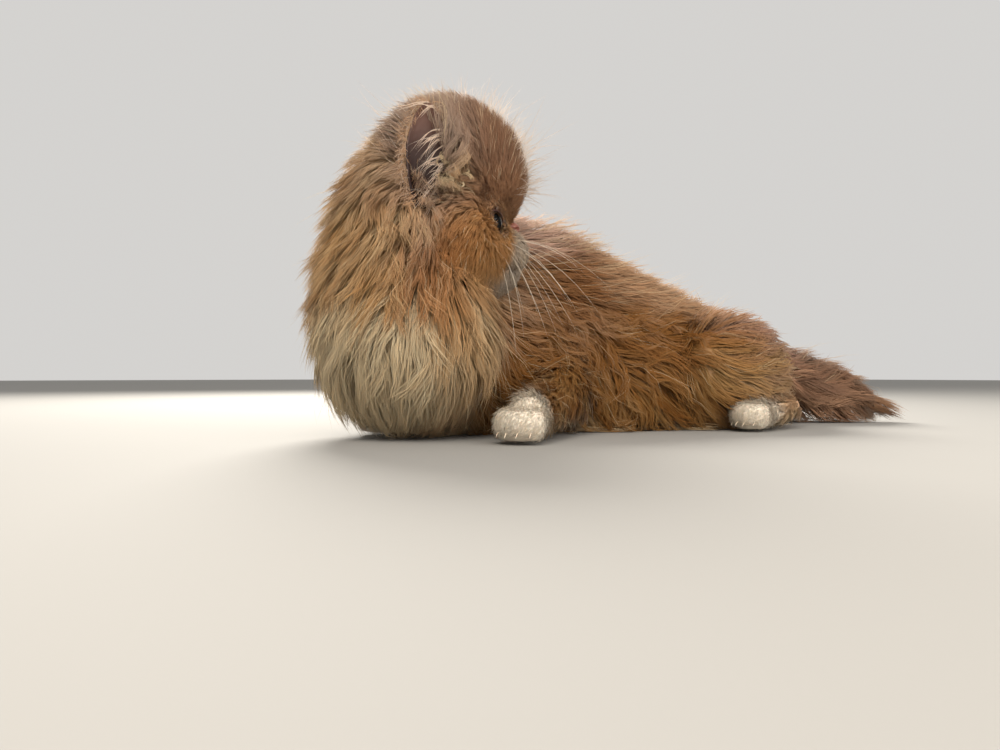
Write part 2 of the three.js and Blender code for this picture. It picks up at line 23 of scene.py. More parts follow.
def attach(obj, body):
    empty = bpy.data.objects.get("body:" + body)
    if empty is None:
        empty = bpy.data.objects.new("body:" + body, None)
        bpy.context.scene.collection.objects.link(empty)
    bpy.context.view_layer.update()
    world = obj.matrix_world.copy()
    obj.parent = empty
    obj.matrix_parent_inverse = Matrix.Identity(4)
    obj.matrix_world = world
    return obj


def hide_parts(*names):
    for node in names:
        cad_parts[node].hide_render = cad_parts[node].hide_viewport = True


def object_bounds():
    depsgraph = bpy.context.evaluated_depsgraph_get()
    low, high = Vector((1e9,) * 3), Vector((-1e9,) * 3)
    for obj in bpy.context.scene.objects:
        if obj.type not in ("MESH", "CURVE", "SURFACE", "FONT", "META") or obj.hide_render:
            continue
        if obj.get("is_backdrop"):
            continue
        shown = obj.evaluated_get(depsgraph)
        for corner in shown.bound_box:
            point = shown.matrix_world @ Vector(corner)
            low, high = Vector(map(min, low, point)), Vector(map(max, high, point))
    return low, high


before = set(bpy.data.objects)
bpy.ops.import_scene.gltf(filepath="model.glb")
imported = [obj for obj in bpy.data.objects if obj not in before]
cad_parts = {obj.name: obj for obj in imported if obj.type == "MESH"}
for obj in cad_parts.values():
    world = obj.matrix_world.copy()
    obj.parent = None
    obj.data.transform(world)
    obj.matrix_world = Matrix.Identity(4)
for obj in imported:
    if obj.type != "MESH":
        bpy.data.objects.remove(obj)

Array = np.ndarray

LOG = logging.getLogger("cat")
MM = 0.001
WELD = 1e-6
UP = np.array([0.0, 0.0, 1.0])
DOWN = -UP
TAILWARD = np.array([1.0, 0.0, 0.0])


def row(*values: float) -> Array:
    """Returns the values as one vector."""
    return np.array(values, dtype=float)


def unit(vectors: Array) -> Array:
    """Returns the vectors at length one."""
    length = np.linalg.norm(vectors, axis=-1, keepdims=True)
    return vectors / np.maximum(length, 1e-9)


def dots(a: Array, b: Array) -> Array:
    """Returns the dot product of each pair of vectors, as a column."""
    return np.sum(a * b, axis=-1, keepdims=True)


def ramp(values: Array, low: float, high: float) -> Array:
    """Returns a smooth step from 0 at low to 1 at high."""
    t = np.clip((np.asarray(values, dtype=float) - low) / (high - low), 0.0, 1.0)
    return t * t * (3.0 - 2.0 * t)


def bump_at(values: Array, middle: float, reach: float) -> Array:
    """Returns a bell that is 1 at middle and near 0 beyond reach on either side."""
    return np.exp(-(((np.asarray(values, dtype=float) - middle) / reach) ** 2))


def linear(colour: str) -> Array:
    """Turns an sRGB hex colour to linear.

    Args:
        colour: Six hex digits, with or without a hash sign.

    Returns:
        Red, green and blue from 0 to 1.
    """
    digits = colour.lstrip("#")
    srgb = np.array([int(digits[i : i + 2], 16) for i in (0, 2, 4)]) / 255.0
    return np.where(srgb <= 0.04045, srgb / 12.92, ((srgb + 0.055) / 1.055) ** 2.4)


def vector(*values: float) -> Array:
    """Returns a dataclass field whose default is a vector."""
    return field(default_factory=lambda: row(*values))


def dye(colour: str) -> Array:
    """Returns a dataclass field whose default is a linear colour, given as sRGB hex."""
    return field(default_factory=lambda: linear(colour))


def ball_ways(u: Array, v: Array) -> Array:
    """Gives directions from a ball's middle.

    Args:
        u: From 0 at the front pole to 1 at the back pole.
        v: From 0 to 1 round the ball, from its left over its top.

    Returns:
        One direction for each place.
    """
    polar, ring = np.pi * u, 2 * np.pi * v
    across = np.sin(polar)
    return np.stack([np.cos(polar), across * np.cos(ring), across * np.sin(ring)], axis=1)


def waves(points: Array, size: float, seed: int, count: int = 7) -> Array:
    """Returns a soft random value from about -1 to 1 at each point.

    Args:
        points: Points in millimetres.
        size: The width of one swell in millimetres.
        seed: Which of the random fields to read.
        count: How many sine waves are summed.

    Returns:
        One value for each point.
    """
    random = np.random.default_rng(seed)
    ways = unit(random.normal(size=(count, 3))) * random.uniform(0.6, 1.5, (count, 1))
    turns = random.uniform(0, 2 * math.pi, count)
    phases = points @ ways.T * (math.pi / size) + turns
    return np.sin(phases).sum(axis=1) / math.sqrt(count) * 0.9


@dataclass(frozen=True)
class Spline:
    """A centripetal Catmull-Rom curve through its points, from 0 to 1."""

    points: Array

    def at(self, t: Array) -> Array:
        """Returns the curve's points.

        Args:
            t: Places along the curve, from 0 to 1.

        Returns:
            One point for each place.
        """
        p = self.points
        last = len(p) - 1
        places = np.clip(np.asarray(t, dtype=float), 0, 1) * last
        i = np.minimum(places.astype(int), last - 1)
        w = (places - i)[:, None]
        before = np.where((i > 0)[:, None], p[np.maximum(i - 1, 0)], 2 * p[0] - p[1])
        after = np.where(
            (i + 2 <= last)[:, None], p[np.minimum(i + 2, last)], 2 * p[last] - p[last - 1]
        )
        p1, p2 = p[i], p[i + 1]
        gaps = [
            np.linalg.norm(b - a, axis=1, keepdims=True) ** 0.5
            for a, b in ((before, p1), (p1, p2), (p2, after))
        ]
        d1 = np.where(gaps[1] < 1e-4, 1.0, gaps[1])
        d0 = np.where(gaps[0] < 1e-4, d1, gaps[0])
        d2 = np.where(gaps[2] < 1e-4, d1, gaps[2])
        t1 = ((p1 - before) / d0 - (p2 - before) / (d0 + d1) + (p2 - p1) / d1) * d1
        t2 = ((p2 - p1) / d1 - (after - p1) / (d1 + d2) + (after - p2) / d2) * d1
        return (
            p1
            + t1 * w
            + (3 * p2 - 3 * p1 - 2 * t1 - t2) * w**2
            + (2 * p1 - 2 * p2 + t1 + t2) * w**3
        )

    def tangent(self, t: Array) -> Array:
        """Returns the curve's direction at each place."""
        t = np.asarray(t, dtype=float)
        return unit(self.at(np.minimum(t + 1e-3, 1)) - self.at(np.maximum(t - 1e-3, 0)))


def spline(*points: Sequence[float]) -> Spline:
    """Returns a curve through the points."""
    return Spline(np.array(points, dtype=float))


class Region(Enum):
    """The parts of the body that the coat's forms stand for."""

    HEAD = 0
    RUFF = 1
    TORSO = 2
    TAIL = 3
    THIGH_LEFT = 4
    THIGH_RIGHT = 5
    FORE_LEFT = 6
    FORE_RIGHT = 7
    HIND_LEFT = 8
    HIND_RIGHT = 9
    TOES = 10


@dataclass(frozen=True)
class HeadFrame:
    """The head's own axes: forward, left and up from its middle."""

    centre: Array = vector(-130, -13, 158)
    heading: float = math.radians(-31)

    @property
    def axes(self) -> Array:
        """Returns forward, left and up as rows."""
        forward = row(math.cos(self.heading), math.sin(self.heading), 0)
        return np.array([forward, np.cross(UP, forward), UP])

    def out(self, local: Array) -> Array:
        """Turns points from the head's axes to the body's."""
        return np.asarray(local) @ self.axes + self.centre

    def turn(self, local: Array) -> Array:
        """Turns directions from the head's axes to the body's."""
        return np.asarray(local) @ self.axes

    def into(self, points: Array) -> Array:
        """Turns points from the body's axes to the head's."""
        return (np.asarray(points) - self.centre) @ self.axes.T


HEAD = HeadFrame()
EYE_PLACE = row(16, 17.5, -24)
EYE_RADIUS = 11.0
EYE_SPLAY = math.radians(32)
CHEST_HEADING = math.radians(205)
CHEST_WAY = row(math.cos(CHEST_HEADING), math.sin(CHEST_HEADING), 0)
CHEST_SIDE = np.cross(UP, CHEST_WAY)
EAR_BASE = row(-18, 34, -15)
EAR_TIP = row(-15, 41, 45)
EAR_HOLLOW = row(-21, 37, 7)
EAR_OVAL = row(11, 15, 20)


def round_ends(u: Array, length: float) -> Array:
    """Returns 1 along a body's middle, falling in a quarter circle to 0 at each end."""
    from_end = np.clip(np.minimum(u, 1 - u) / length, 0, 1)
    return np.sqrt(np.maximum(0, 1 - (1 - from_end) ** 2))


class Form:
    """A part of the body: its bare skin as a function of u, from end to end, and v, around it."""

    region: Region

    def skin(self, u: Array, v: Array) -> Array:
        """Returns the skin's points, in millimetres."""
        raise NotImplementedError

    def reach(self, u: Array, v: Array) -> Array:
        """Returns how far the coat's tips stand off the skin, in millimetres."""
        raise NotImplementedError


@dataclass(frozen=True)
class HeadForm(Form):
    """The head, a smooth union of rounded masses."""

    region: Region = Region.HEAD
    blend: float = 3.2
    longest_ray: float = 110.0
    halvings: int = 20
    face_coat: float = 5.0
    cheek_coat: float = 19.0
    crown_coat: float = 15.0

    @property
    def masses(self) -> list[tuple[Array, Array]]:
        """The rounded masses that make up the head.

        Returns:
            Each mass's middle and its radii, in the head's axes.
        """
        middle = [
            (row(-3, 0, 9), row(39, 35, 36)),  # skull
            (row(17, 0, 4), row(21, 26, 22)),  # forehead
            (row(20, 0, -16), row(13, 10, 10)),  # bridge of the nose
            (row(22, 0, -54), row(13, 13, 9)),  # chin
            (row(-8, 0, -36), row(30, 27, 26)),  # jaw
        ]
        cheek, lip = (row(0, 20, -35), row(25, 18, 23)), (row(27, 8, -39), row(14, 12, 12))
        sides = row(1, 1, 1), row(1, -1, 1)
        return middle + [(c * side, r) for c, r in (cheek, lip) for side in sides]

    def depth(self, local: Array) -> Array:
        """Returns about how far points lie outside the head's skin.

        Args:
            local: Points in the head's axes.

        Returns:
            Millimetres, below 0 inside.
        """
        total = np.zeros(len(local))
        for centre, radii in self.masses:
            far = (np.linalg.norm((local - centre) / radii, axis=1) - 1) * radii.min()
            total += np.exp(-far / self.blend)
        return -self.blend * np.log(np.maximum(total, 1e-30))

    def skin(self, u: Array, v: Array) -> Array:
        """Finds the head's skin along rays from its middle, by halving.

        Args:
            u: Places from the face to the back, from 0 to 1.
            v: Places from the left over the crown, from 0 to 1.

        Returns:
            The skin's points, in millimetres.
        """
        ways = ball_ways(u, v)
        near, far = np.zeros(len(ways)), np.full(len(ways), self.longest_ray)
        for _ in range(self.halvings):
            middle = (near + far) / 2
            outside = self.depth(ways * middle[:, None]) > 0
            far = np.where(outside, middle, far)
            near = np.where(outside, near, middle)
        return HEAD.out(ways * near[:, None])

    def reach(self, u: Array, v: Array) -> Array:
        """Gives the coat's reach: shallow on the face, deep on the crown and deepest on the cheeks.

        Args:
            u: Places from the face to the back, from 0 to 1.
            v: Places from the left over the crown, from 0 to 1.

        Returns:
            How far the tips stand off the skin, in millimetres.
        """
        ways = ball_ways(u, v)
        back = ramp(-ways[:, 0], -0.75, 0.25)
        deep = self.cheek_coat + (self.crown_coat - self.cheek_coat) * ramp(ways[:, 2], -0.3, 0.6)
        return self.face_coat + (deep - self.face_coat) * back


@dataclass(frozen=True)
class TorsoForm(Form):
    """The torso, one loft along the spine from the rump to the chest."""

    region: Region = Region.TORSO
    # The spine from above, and the half width, top and bottom at each of its points.
    spine: Spline = spline(
        (156, -30, 0), (120, -22, 0), (70, -8, 0), (15, 8, 0),
        (-40, 24, 0), (-85, 32, 0), (-125, 26, 0), (-155, 10, 0),
    )
    girth: Spline = spline(
        (26, 58, 8), (42, 69, -4), (50, 88, -12), (50, 113, -14),
        (46, 136, -12), (42, 140, -8), (38, 126, 0), (28, 92, 12),
    )
    coat: float = 20.0

    def skin(self, u: Array, v: Array) -> Array:
        """Lofts the torso, narrower over the back than at the belly.

        Args:
            u: Places from end to end, from 0 to 1.
            v: Places around, from 0 to 1.

        Returns:
            The skin's points, in millimetres.
        """
        girth = self.girth.at(u)
        side = unit(np.cross(UP, self.spine.tangent(u)))
        ends = round_ends(u, 0.1)
        angle = 2 * np.pi * v
        wide = girth[:, 0] * (1 - 0.24 * np.sin(angle)) * ends * np.cos(angle)
        high = (
            (girth[:, 1] + girth[:, 2]) / 2 + (girth[:, 1] - girth[:, 2]) / 2 * ends * np.sin(angle)
        )
        return self.spine.at(u) + side * wide[:, None] + UP * high[:, None]

    def reach(self, u: Array, v: Array) -> Array:
        """Returns the coat's reach, the same all over."""
        return np.full(len(u), self.coat)


@dataclass(frozen=True)
class TubeForm(Form):
    """A round tube along a line, with a radius and a coat at each of its points."""

    region: Region
    line: Spline
    girth: Spline
    end: float
    flat: tuple[float, float] = (1.0, 1.0)
    across: tuple[Array, Array] | None = None

    def skin(self, u: Array, v: Array) -> Array:
        """Sweeps the tube along its line, with rounded ends.

        Args:
            u: Places from end to end, from 0 to 1.
            v: Places around, from 0 to 1.

        Returns:
            The skin's points, in millimetres.
        """
        ahead = self.line.tangent(u)
        if self.across is None:
            side = unit(np.cross(UP, ahead))
            over = np.cross(ahead, side)
        else:
            side, over = (np.tile(a, (len(u), 1)) for a in self.across)
        radius = (self.girth.at(u)[:, 0] * round_ends(u, self.end))[:, None]
        angle = (2 * np.pi * v)[:, None]
        return (
            self.line.at(u)
            + side * radius * self.flat[0] * np.cos(angle)
            + over * radius * self.flat[1] * np.sin(angle)
        )

    def reach(self, u: Array, v: Array) -> Array:
        """Returns the coat's reach along the tube."""
        return self.girth.at(u)[:, 1]


@dataclass(frozen=True)
class OvalForm(Form):
    """An oval mass, such as a thigh or a toe."""

    region: Region
    centre: Array
    radii: Array
    yaw: float
    coat: float

    def skin(self, u: Array, v: Array) -> Array:
        """Shapes the oval, turned by its yaw.

        Args:
            u: Places from end to end, from 0 to 1.
            v: Places around, from 0 to 1.

        Returns:
            The skin's points, in millimetres.
        """
        c, s = math.cos(self.yaw), math.sin(self.yaw)
        turn = np.array([[c, s, 0], [-s, c, 0], [0, 0, 1]])
        return (ball_ways(u, v) * self.radii) @ turn + self.centre

    def reach(self, u: Array, v: Array) -> Array:
        """Returns the coat's reach, the same all over."""
        return np.full(len(u), self.coat)


def leg(
    region: Region, path: Sequence[Sequence[float]], radii: Sequence[float], coats: Sequence[float]
) -> TubeForm:
    """Returns a leg's lower length as a tube.

    Args:
        region: Which leg it is.
        path: Points from its upper joint to its paw.
        radii: The bare leg's radius at each point.
        coats: The coat's reach at each point.

    Returns:
        The leg's form.
    """
    return TubeForm(region, spline(*path), spline(*[(r, c, 0) for r, c in zip(radii, coats)]), 0.16)


def toes(path: Sequence[Sequence[float]], radius: float) -> list[OvalForm]:
    """Sets a paw's four toes side by side at the end of a leg's path.

    Args:
        path: The leg's points from its upper joint to its paw.
        radius: The paw's radius.

    Returns:
        The toes' forms.
    """
    end, knee = row(*path[2]), row(*path[1])
    ahead = unit((end - knee) * row(1, 1, 0))
    side = np.cross(UP, ahead)
    yaw = math.atan2(ahead[1], ahead[0])
    made = []
    for k in (-1.5, -0.5, 0.5, 1.5):
        # The two middle toes stand 4 mm further forward than the outer ones.
        centre = end + side * k * radius * 0.56 + ahead * (-1 if abs(k) > 1 else 3)
        centre[2] = TOE_HEIGHT
        made.append(OvalForm(Region.TOES, centre, row(10, 5.6, 10), yaw, TOE_COAT))
    return made


TOE_HEIGHT = 11
TOE_COAT = 2.5
HIND_LEFT = [(134, -78, 17), (100, -88, 13), (62, -92, 12)]
HIND_RIGHT = [(136, 40, 17), (102, 60, 13), (64, 70, 12)]
FORE_LEFT = [(-48, -20, 32), (-86, -50, 20), (-130, -78, 15)]
FORE_RIGHT = [(-82, 68, 32), (-122, 56, 20), (-166, 26, 15)]
TAIL_LINE = spline((136, -26, 46), (168, -34, 36), (204, -56, 27), (238, -80, 18))


def body_forms() -> list[Form]:
    """Lists the forms of the whole body, with the same sizes as the solid model.

    Returns:
        The forms.
    """
    ruff = TubeForm(
        Region.RUFF,
        spline((-154, 2, 160), (-155, 2, 130), (-158, 3, 98), (-161, 0, 66), (-162, -3, 30)),
        spline((26, 14, 0), (33, 20, 0), (37, 25, 0), (36, 27, 0), (25, 26, 0)),
        0.14,
        (0.9, 1.1),
        (CHEST_WAY, CHEST_SIDE),
    )
    tail = TubeForm(
        Region.TAIL, TAIL_LINE, spline((12, 20, 0), (10, 23, 0), (8, 19, 0), (6, 11, 0)), 0.12
    )
    forms: list[Form] = [
        HeadForm(),
        ruff,
        OvalForm(Region.RUFF, row(-157, 4, 150), row(23, 27, 26), 0.0, 19),
        TorsoForm(),
        tail,
        OvalForm(Region.THIGH_LEFT, row(86, -56, 40), row(48, 21, 36), 0.08, 17),
        OvalForm(Region.THIGH_RIGHT, row(88, 34, 38), row(48, 21, 36), -0.3, 17),
        leg(Region.HIND_LEFT, HIND_LEFT, (9, 8, 10), (6, 5, 4)),
        leg(Region.HIND_RIGHT, HIND_RIGHT, (9, 8, 10), (6, 5, 4)),
        leg(Region.FORE_LEFT, FORE_LEFT, (14, 11, 12), (16, 10, 3)),
        leg(Region.FORE_RIGHT, FORE_RIGHT, (14, 11, 12), (16, 10, 3)),
    ]
    for path, radius in ((HIND_LEFT, 10), (HIND_RIGHT, 10), (FORE_LEFT, 12), (FORE_RIGHT, 12)):
        forms += toes(path, radius)
    return forms


@dataclass(frozen=True)
class Dyes:
    """The coat's colours, as sRGB hex."""

    crown: Array = dye("9C8574")
    forehead: Array = dye("7E5639")
    brow: Array = dye("A27652")
    cheek: Array = dye("BE8C56")
    orange: Array = dye("AE6A26")
    mane: Array = dye("D0A46E")
    nape: Array = dye("B88C62")
    sand: Array = dye("DCBB8C")
    cream: Array = dye("EAD5AF")
    white: Array = dye("E0D4C1")
    lash: Array = dye("EBD8C6")
    # The muzzle's white, greyed as painted shade.
    lip: Array = dye("B8A896")
    back: Array = dye("B68F6C")
    # A dark brown for the saddle marking, also used as painted shade.
    saddle_and_shade: Array = dye("80552F")
    flank: Array = dye("8C5A20")
    rose: Array = dye("CDAA97")
    rump: Array = dye("9A705F")
    gold: Array = dye("AC8450")
    plume: Array = dye("8E6A52")
    umber: Array = dye("6E4630")


DYES = Dyes()


def mix(base: Array, over: Array, share: Array) -> Array:
    """Mixes a colour, or one for each point, over others by a share of each.

    Args:
        base: The colours below.
        over: The colour or colours on top.
        share: How much of it shows at each point.

    Returns:
        The mixed colours.
    """
    share = np.clip(share, 0, 1)[:, None]
    return base * (1 - share) + over * share


def markings(points: Array, weights: Array) -> Array:
    """Gives the colour of the skin and coat at points of the skin, with painted shade and painted
    rim light in places.

    Args:
        points: Points of the skin in millimetres.
        weights: How much each point belongs to each region.

    Returns:
        Linear colours, one for each point.
    """
    local = HEAD.into(points)
    x, _, z = points.T
    f, side, up = local[:, 0], np.abs(local[:, 1]), local[:, 2]
    part = {region: weights[:, region.value] for region in Region}
    thighs = part[Region.THIGH_LEFT] + part[Region.THIGH_RIGHT]
    mottle, fine = waves(points, 26, 5), waves(points, 9, 6)

    # The back and flanks: a dark saddle that is partly marking and partly painted shade under the
    # head, a rosy ridge, orange low down and cream at the belly.
    colour = np.tile(DYES.back, (len(points), 1))
    # Partly painted shade: the saddle darkens the back where the turned head shades it.
    colour = mix(colour, DYES.saddle_and_shade, bump_at(x, -58, 42) * ramp(z, 60, 96) * (0.95 + 0.3 * mottle))
    colour = mix(colour, DYES.rose, ramp(-x + 10 * mottle, 20, 60) * ramp(z, 116, 132) * 0.85)
    colour = mix(colour, DYES.flank, ramp(-z + 9 * mottle, -100, -66) * ramp(-x, -78, -48))
    colour = mix(colour, DYES.gold, ramp(-z, -70, -30) * (0.28 + 0.34 * fine))
    colour = mix(colour, DYES.rump, ramp(x, 40, 100) * ramp(z, 34, 60))
    colour = mix(
        colour, DYES.gold, thighs * ramp(z, 12, 40) * ramp(-z, -70, -52) * (0.7 + 0.3 * fine)
    )
    colour = mix(colour, DYES.cream, ramp(-z, -20, -4) * 0.7)
    colour = mix(colour, DYES.plume, part[Region.TAIL] * (0.9 + 0.2 * fine))

    # The ruff: golden, with an orange patch below the cheek, a cream chest, and painted shade on
    # the side that faces the body.
    mane = mix(np.tile(DYES.mane, (len(points), 1)), DYES.nape, 0.35 + 0.45 * mottle)
    mane = mix(mane, DYES.sand, 0.3 + 0.4 * fine)
    mane = mix(
        mane, DYES.orange, bump_at(f, -15, 20) * bump_at(up, -54, 22) * (1.0 + 0.15 * mottle)
    )
    chest = (points - row(-158, 0, 0)) @ CHEST_WAY
    front = chest + 0.25 * (112 - z)
    # Cream on the chest; its share thins towards the body side, which is painted shade.
    mane = mix(
        mane,
        DYES.cream,
        ramp(-z + 10 * mottle, -112, -88) * ramp(front, -8, 12) * (0.3 + 0.7 * ramp(front, 24, 46)),
    )
    # Painted shade: the ruff darkens on the side that faces the body, under the head.
    mane = mix(mane, DYES.saddle_and_shade, ramp(-chest, 4, 26) * ramp(-z, -132, -108) * 0.75)
    colour = mix(colour, mane, part[Region.RUFF])
    colour = mix(colour, DYES.cream, part[Region.TORSO] * ramp(-x, 120, 145) * ramp(-z, -90, -60))

    # The head: a grey-brown crown, paler at the top as painted rim light, a dark forehead partly
    # painted shade, a darker brow, orange cheeks, and a muzzle and chin greyed as painted shade.
    head = mix(np.tile(DYES.crown, (len(points), 1)), DYES.sand * 0.9, ramp(-f, 26, 46) * 0.8)
    # Painted rim light: the top of the crown is paled.
    head = mix(head, DYES.lash, ramp(up, 42, 56) * 0.5)
    # The dark forehead is partly marking and partly painted shade.
    head = mix(head, DYES.forehead, ramp(f, -8, 22) * ramp(up, -16, 0) * 0.85)
    head = mix(head, DYES.brow, bump_at(up, -10, 11) * ramp(f, -6, 12) * 0.8)
    head = mix(head, DYES.cheek, ramp(-up, 8, 26) * ramp(f, -26, -8))
    head = mix(
        head,
        DYES.orange,
        bump_at(f, -8, 22) * bump_at(up, -38, 15) * ramp(side, 10, 24) * (0.6 + 0.3 * mottle),
    )
    head = mix(head, DYES.mane, ramp(-up, 42, 58) * ramp(f, -14, 2) * 0.6)
    head = mix(head, DYES.sand, bump_at(f, -2, 9) * bump_at(up, -3, 7) * 0.6)
    head = mix(
        head, DYES.umber, bump_at(side, 0, 6.5) * bump_at(up, -14, 8) * ramp(f, 22, 30) * 0.5
    )
    # The muzzle and chin take the white greyed as painted shade.
    muzzle = ramp(f - 0.45 * side + 0.2 * (-up - 40), 20, 28) * ramp(-up, 23, 29)
    chin = ramp(-up, 50, 58) * ramp(f, 14, 22)
    head = mix(head, DYES.lip, muzzle * 0.95 + chin * 0.85)
    # Dark lids, a pale inner corner, and painted shade in the hollow of the ear.
    folded = np.stack([f, side, up], axis=1)
    eye = (folded - EYE_PLACE) @ eye_axes(1).T
    lid = bump_at(lid_edge(eye[:, 1], eye[:, 2]), 0.6, 1.6) * ramp(eye[:, 0], 2, 6)
    head = mix(head, DYES.umber * 0.7, lid * (0.55 + 0.3 * ramp(eye[:, 2], -1, 2)))
    corner = np.linalg.norm((folded - row(27, 12, -33)) / row(1, 1, 1.6), axis=1)
    head = mix(head, DYES.rose, bump_at(corner, 0, 3.2) * 0.4)
    hollow = np.linalg.norm((folded - EAR_HOLLOW) / EAR_OVAL, axis=1)
    head = mix(head, DYES.umber * 0.5, ramp(-hollow, -1.0, -0.85))
    colour = mix(colour, head, part[Region.HEAD])

    # White feet.
    paw = (
        part[Region.TOES]
        + part[Region.FORE_LEFT] * ramp(-x, 98, 110)
        + part[Region.FORE_RIGHT] * ramp(-x, 120, 138)
    )
    hind = (part[Region.HIND_LEFT] + part[Region.HIND_RIGHT]) * ramp(-x, -108, -84)
    return mix(colour, DYES.white, paw + hind * 0.9)


def edges_of(mesh: bpy.types.Mesh) -> Array:
    """Reads a mesh's edges.

    Args:
        mesh: The mesh.

    Returns:
        Pairs of vertex numbers.
    """
    edges = np.empty(len(mesh.edges) * 2, dtype=np.int32)
    mesh.edges.foreach_get("vertices", edges)
    return edges.reshape(-1, 2)


def smoothed(values: Array, edges: Array, rounds: int, share: float = 0.5) -> Array:
    """Evens out values along a mesh's edges.

    Args:
        values: One row for each vertex.
        edges: Pairs of vertices.
        rounds: How many times each vertex moves towards its neighbours' mean.
        share: How far it moves each time.

    Returns:
        The evened values.
    """
    count = np.bincount(edges.ravel(), minlength=len(values)).astype(float)[:, None]
    for _ in range(rounds):
        total = np.zeros_like(values)
        for k in range(values.shape[1]):
            total[:, k] = np.bincount(edges[:, 0], values[edges[:, 1], k], len(values))
            total[:, k] += np.bincount(edges[:, 1], values[edges[:, 0], k], len(values))
        values = values * (1 - share) + total / np.maximum(count, 1) * share
    return values


def points_of(mesh: bpy.types.Mesh) -> Array:
    """Reads a mesh's vertices.

    Args:
        mesh: The mesh.

    Returns:
        Points in millimetres.
    """
    co = np.empty(len(mesh.vertices) * 3)
    mesh.vertices.foreach_get("co", co)
    return co.reshape(-1, 3) / MM


def normals_of(mesh: bpy.types.Mesh) -> Array:
    """Reads a mesh's normals.

    Args:
        mesh: The mesh.

    Returns:
        One direction for each vertex.
    """
    normals = np.empty(len(mesh.vertices) * 3)
    mesh.vertices.foreach_get("normal", normals)
    return normals.reshape(-1, 3)


def move(verts: Sequence[bmesh.types.BMVert], points: Array) -> None:
    """Moves a bmesh's vertices to points in millimetres."""
    for vert, point in zip(verts, points):
        vert.co = point * MM


def place(mesh: bpy.types.Mesh, points: Array) -> None:
    """Moves a mesh's vertices to points in millimetres."""
    mesh.vertices.foreach_set("co", (points * MM).ravel())
    mesh.update()


def new_object(
    name: str, mesh: bpy.types.Mesh, material: bpy.types.Material
) -> bpy.types.Object:
    """Links a finished mesh to the scene as a piece that rides with the cat's one body.

    Args:
        name: The piece's name.
        mesh: Its mesh.
        material: Its material.

    Returns:
        The new object.
    """
    piece = bpy.data.objects.new(name, mesh)
    bpy.context.collection.objects.link(piece)
    mesh.materials.append(material)
    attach(piece, "root")
    LOG.info("%s: %d faces", name, len(mesh.polygons))
    return piece


def mesh_from(name: str, bm: bmesh.types.BMesh) -> bpy.types.Mesh:
    """Writes a bmesh out as a smooth mesh with its faces turned outwards.

    Args:
        name: The mesh's name.
        bm: The bmesh, which is freed.

    Returns:
        The mesh.
    """
    bmesh.ops.recalc_face_normals(bm, faces=bm.faces)
    mesh = bpy.data.meshes.new(name)
    bm.to_mesh(mesh)
    bm.free()
    mesh.polygons.foreach_set("use_smooth", [True] * len(mesh.polygons))
    return mesh


def grid(bm: bmesh.types.BMesh, rows: int, columns: int) -> tuple[list[bmesh.types.BMVert], Array]:
    """Adds a flat grid to a bmesh, which a piece's own form then bends.

    Args:
        bm: The bmesh.
        rows: Faces along the grid.
        columns: Faces across it.

    Returns:
        The vertices, and the place of each along and across the grid, from 0 to 1.
    """
    verts = bmesh.ops.create_grid(bm, x_segments=rows, y_segments=columns, size=0.5)["verts"]
    steps = row(rows, columns)
    places = np.array([vert.co for vert in verts])[:, :2] + 0.5
    return verts, np.rint(places * steps) / steps


def paint(mesh: bpy.types.Mesh, colours: Array, name: str = "coat") -> None:
    """Stores a linear colour for each vertex, which the materials read.

    Args:
        mesh: The mesh.
        colours: One colour for each vertex.
        name: The name of the attribute.
    """
    layer = mesh.color_attributes.new(name, "FLOAT_COLOR", "POINT")
    filled = np.ones((len(colours), 4), dtype=np.float32)
    filled[:, :3] = colours
    layer.data.foreach_set("color", filled.ravel())


